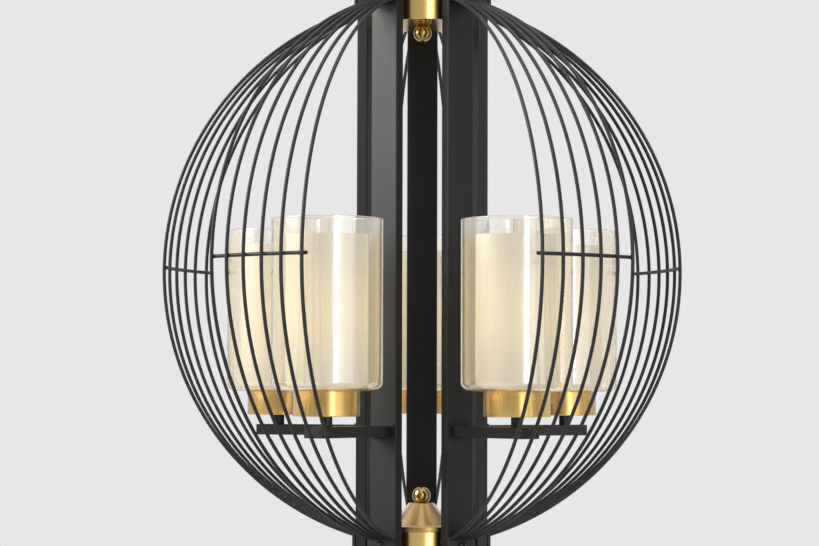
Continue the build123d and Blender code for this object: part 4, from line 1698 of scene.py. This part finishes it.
@dataclass
class Studio:
    """The pale room, its soft lights, the floor and the camera."""

    backdrop: Colour = (0.800, 0.797, 0.800)
    ambient: Colour = (0.44, 0.44, 0.45)
    dim_front: Colour = (0.48, 0.48, 0.48)
    dim_range: Range = (-0.9, 0.3)
    aim: Triple = (0.0, 0.0, -0.65)
    boxes: tuple[SoftBox, ...] = (
        SoftBox("left_box", (-2.56, -0.75, 0.62), size=(1.5, 1.8), power=106.0, tint=(1.0, 0.995, 0.98)),
        SoftBox("right_strip", (0.97, -2.86, -0.45), size=(0.42, 2.4), power=18.0),
        SoftBox("right_panel", (1.93, -2.30, -0.45), size=(1.7, 2.4), power=10.0, tint=(1.0, 0.99, 1.0)),
        SoftBox("top_box", (0.3, -0.6, 1.6), size=(2.4, 2.4), power=34.0),
    )
    floor_height: float = -2.50
    floor_radius: float = 16.0
    floor_steps: int = 96
    camera_place: Triple = (0.0, -2.587, -0.8244)
    lens: float = 101.05
    sensor_width: float = 36.0
    tilt: float = 0.05076
    turn: float = 0.00545
    roll: float = 0.0028

    def world(self) -> None:
        """Make the world pale where it is seen and gentler where it lights."""
        world = bpy.data.worlds.new("pale_room")
        world.use_nodes = True
        world.node_tree.nodes.clear()
        graph = Graph(world.node_tree)
        direct, seen = looked_at(graph)
        toward = graph.add("ShaderNodeTexCoord").outputs["Generated"]
        back = graph.add("ShaderNodeSeparateXYZ", {0: toward}).outputs["Y"]
        mirrored = graph.blend(graph.spread(back, *self.dim_range), self.dim_front, self.backdrop)
        shown = graph.blend(direct, mirrored, self.backdrop)
        colour = graph.blend(seen, self.ambient, shown)
        background = graph.add("ShaderNodeBackground", {"Color": colour, "Strength": 1.0})
        graph.add("ShaderNodeOutputWorld", {"Surface": background.outputs[0]})
        bpy.context.scene.world = world

    def lights(self) -> None:
        """Hang a broad box at the left, a strip and a panel at the right, and one above."""
        for box in self.boxes:
            box.hang(self.aim)

    def floor(self) -> None:
        """Lay a round pale floor that keeps the lamp's shadow and hides nothing from below."""
        steps = self.floor_steps
        angles = [2 * pi * step / steps for step in range(steps)]
        outline = [around(self.floor_radius, self.floor_height, angle) for angle in angles]
        mesh = bpy.data.meshes.new("floor")
        mesh.from_pydata(outline, [], [tuple(range(steps))])
        mesh.materials.append(ROOM_FLOOR.material())
        floor = bpy.data.objects.new("floor", mesh)
        bpy.context.scene.collection.objects.link(floor)

    def camera(self) -> None:
        """Stand the camera where the photographer stood."""
        data = bpy.data.cameras.new("camera")
        data.lens = self.lens
        data.sensor_width = self.sensor_width
        camera = bpy.data.objects.new("camera", data)
        camera.location = self.camera_place
        turned = Matrix.Rotation(self.turn, 3, "Z") @ Matrix.Rotation(pi / 2 + self.tilt, 3, "X")
        camera.rotation_euler = (turned @ Matrix.Rotation(self.roll, 3, "Z")).to_euler()
        bpy.context.scene.collection.objects.link(camera)
        bpy.context.scene.camera = camera

    def build(self) -> None:
        """Set up the whole room."""
        bpy.context.scene.view_settings.view_transform = "Standard"
        self.world()
        self.lights()
        self.floor()
        self.camera()
        log.info("studio")


def main() -> None:
    """Build the studio and the lamp's pieces in order."""
    logging.basicConfig(level=logging.INFO, format="%(name)s: %(message)s")
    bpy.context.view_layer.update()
    Studio().build()
    PackedNodes().build()
    WireFans().build()
    CageScrews().build()
    LampGlasses().build()
    Cups().build()
    Bulbs().build()
    BrassTurnings().build()


if __name__ == "__main__":
    main()
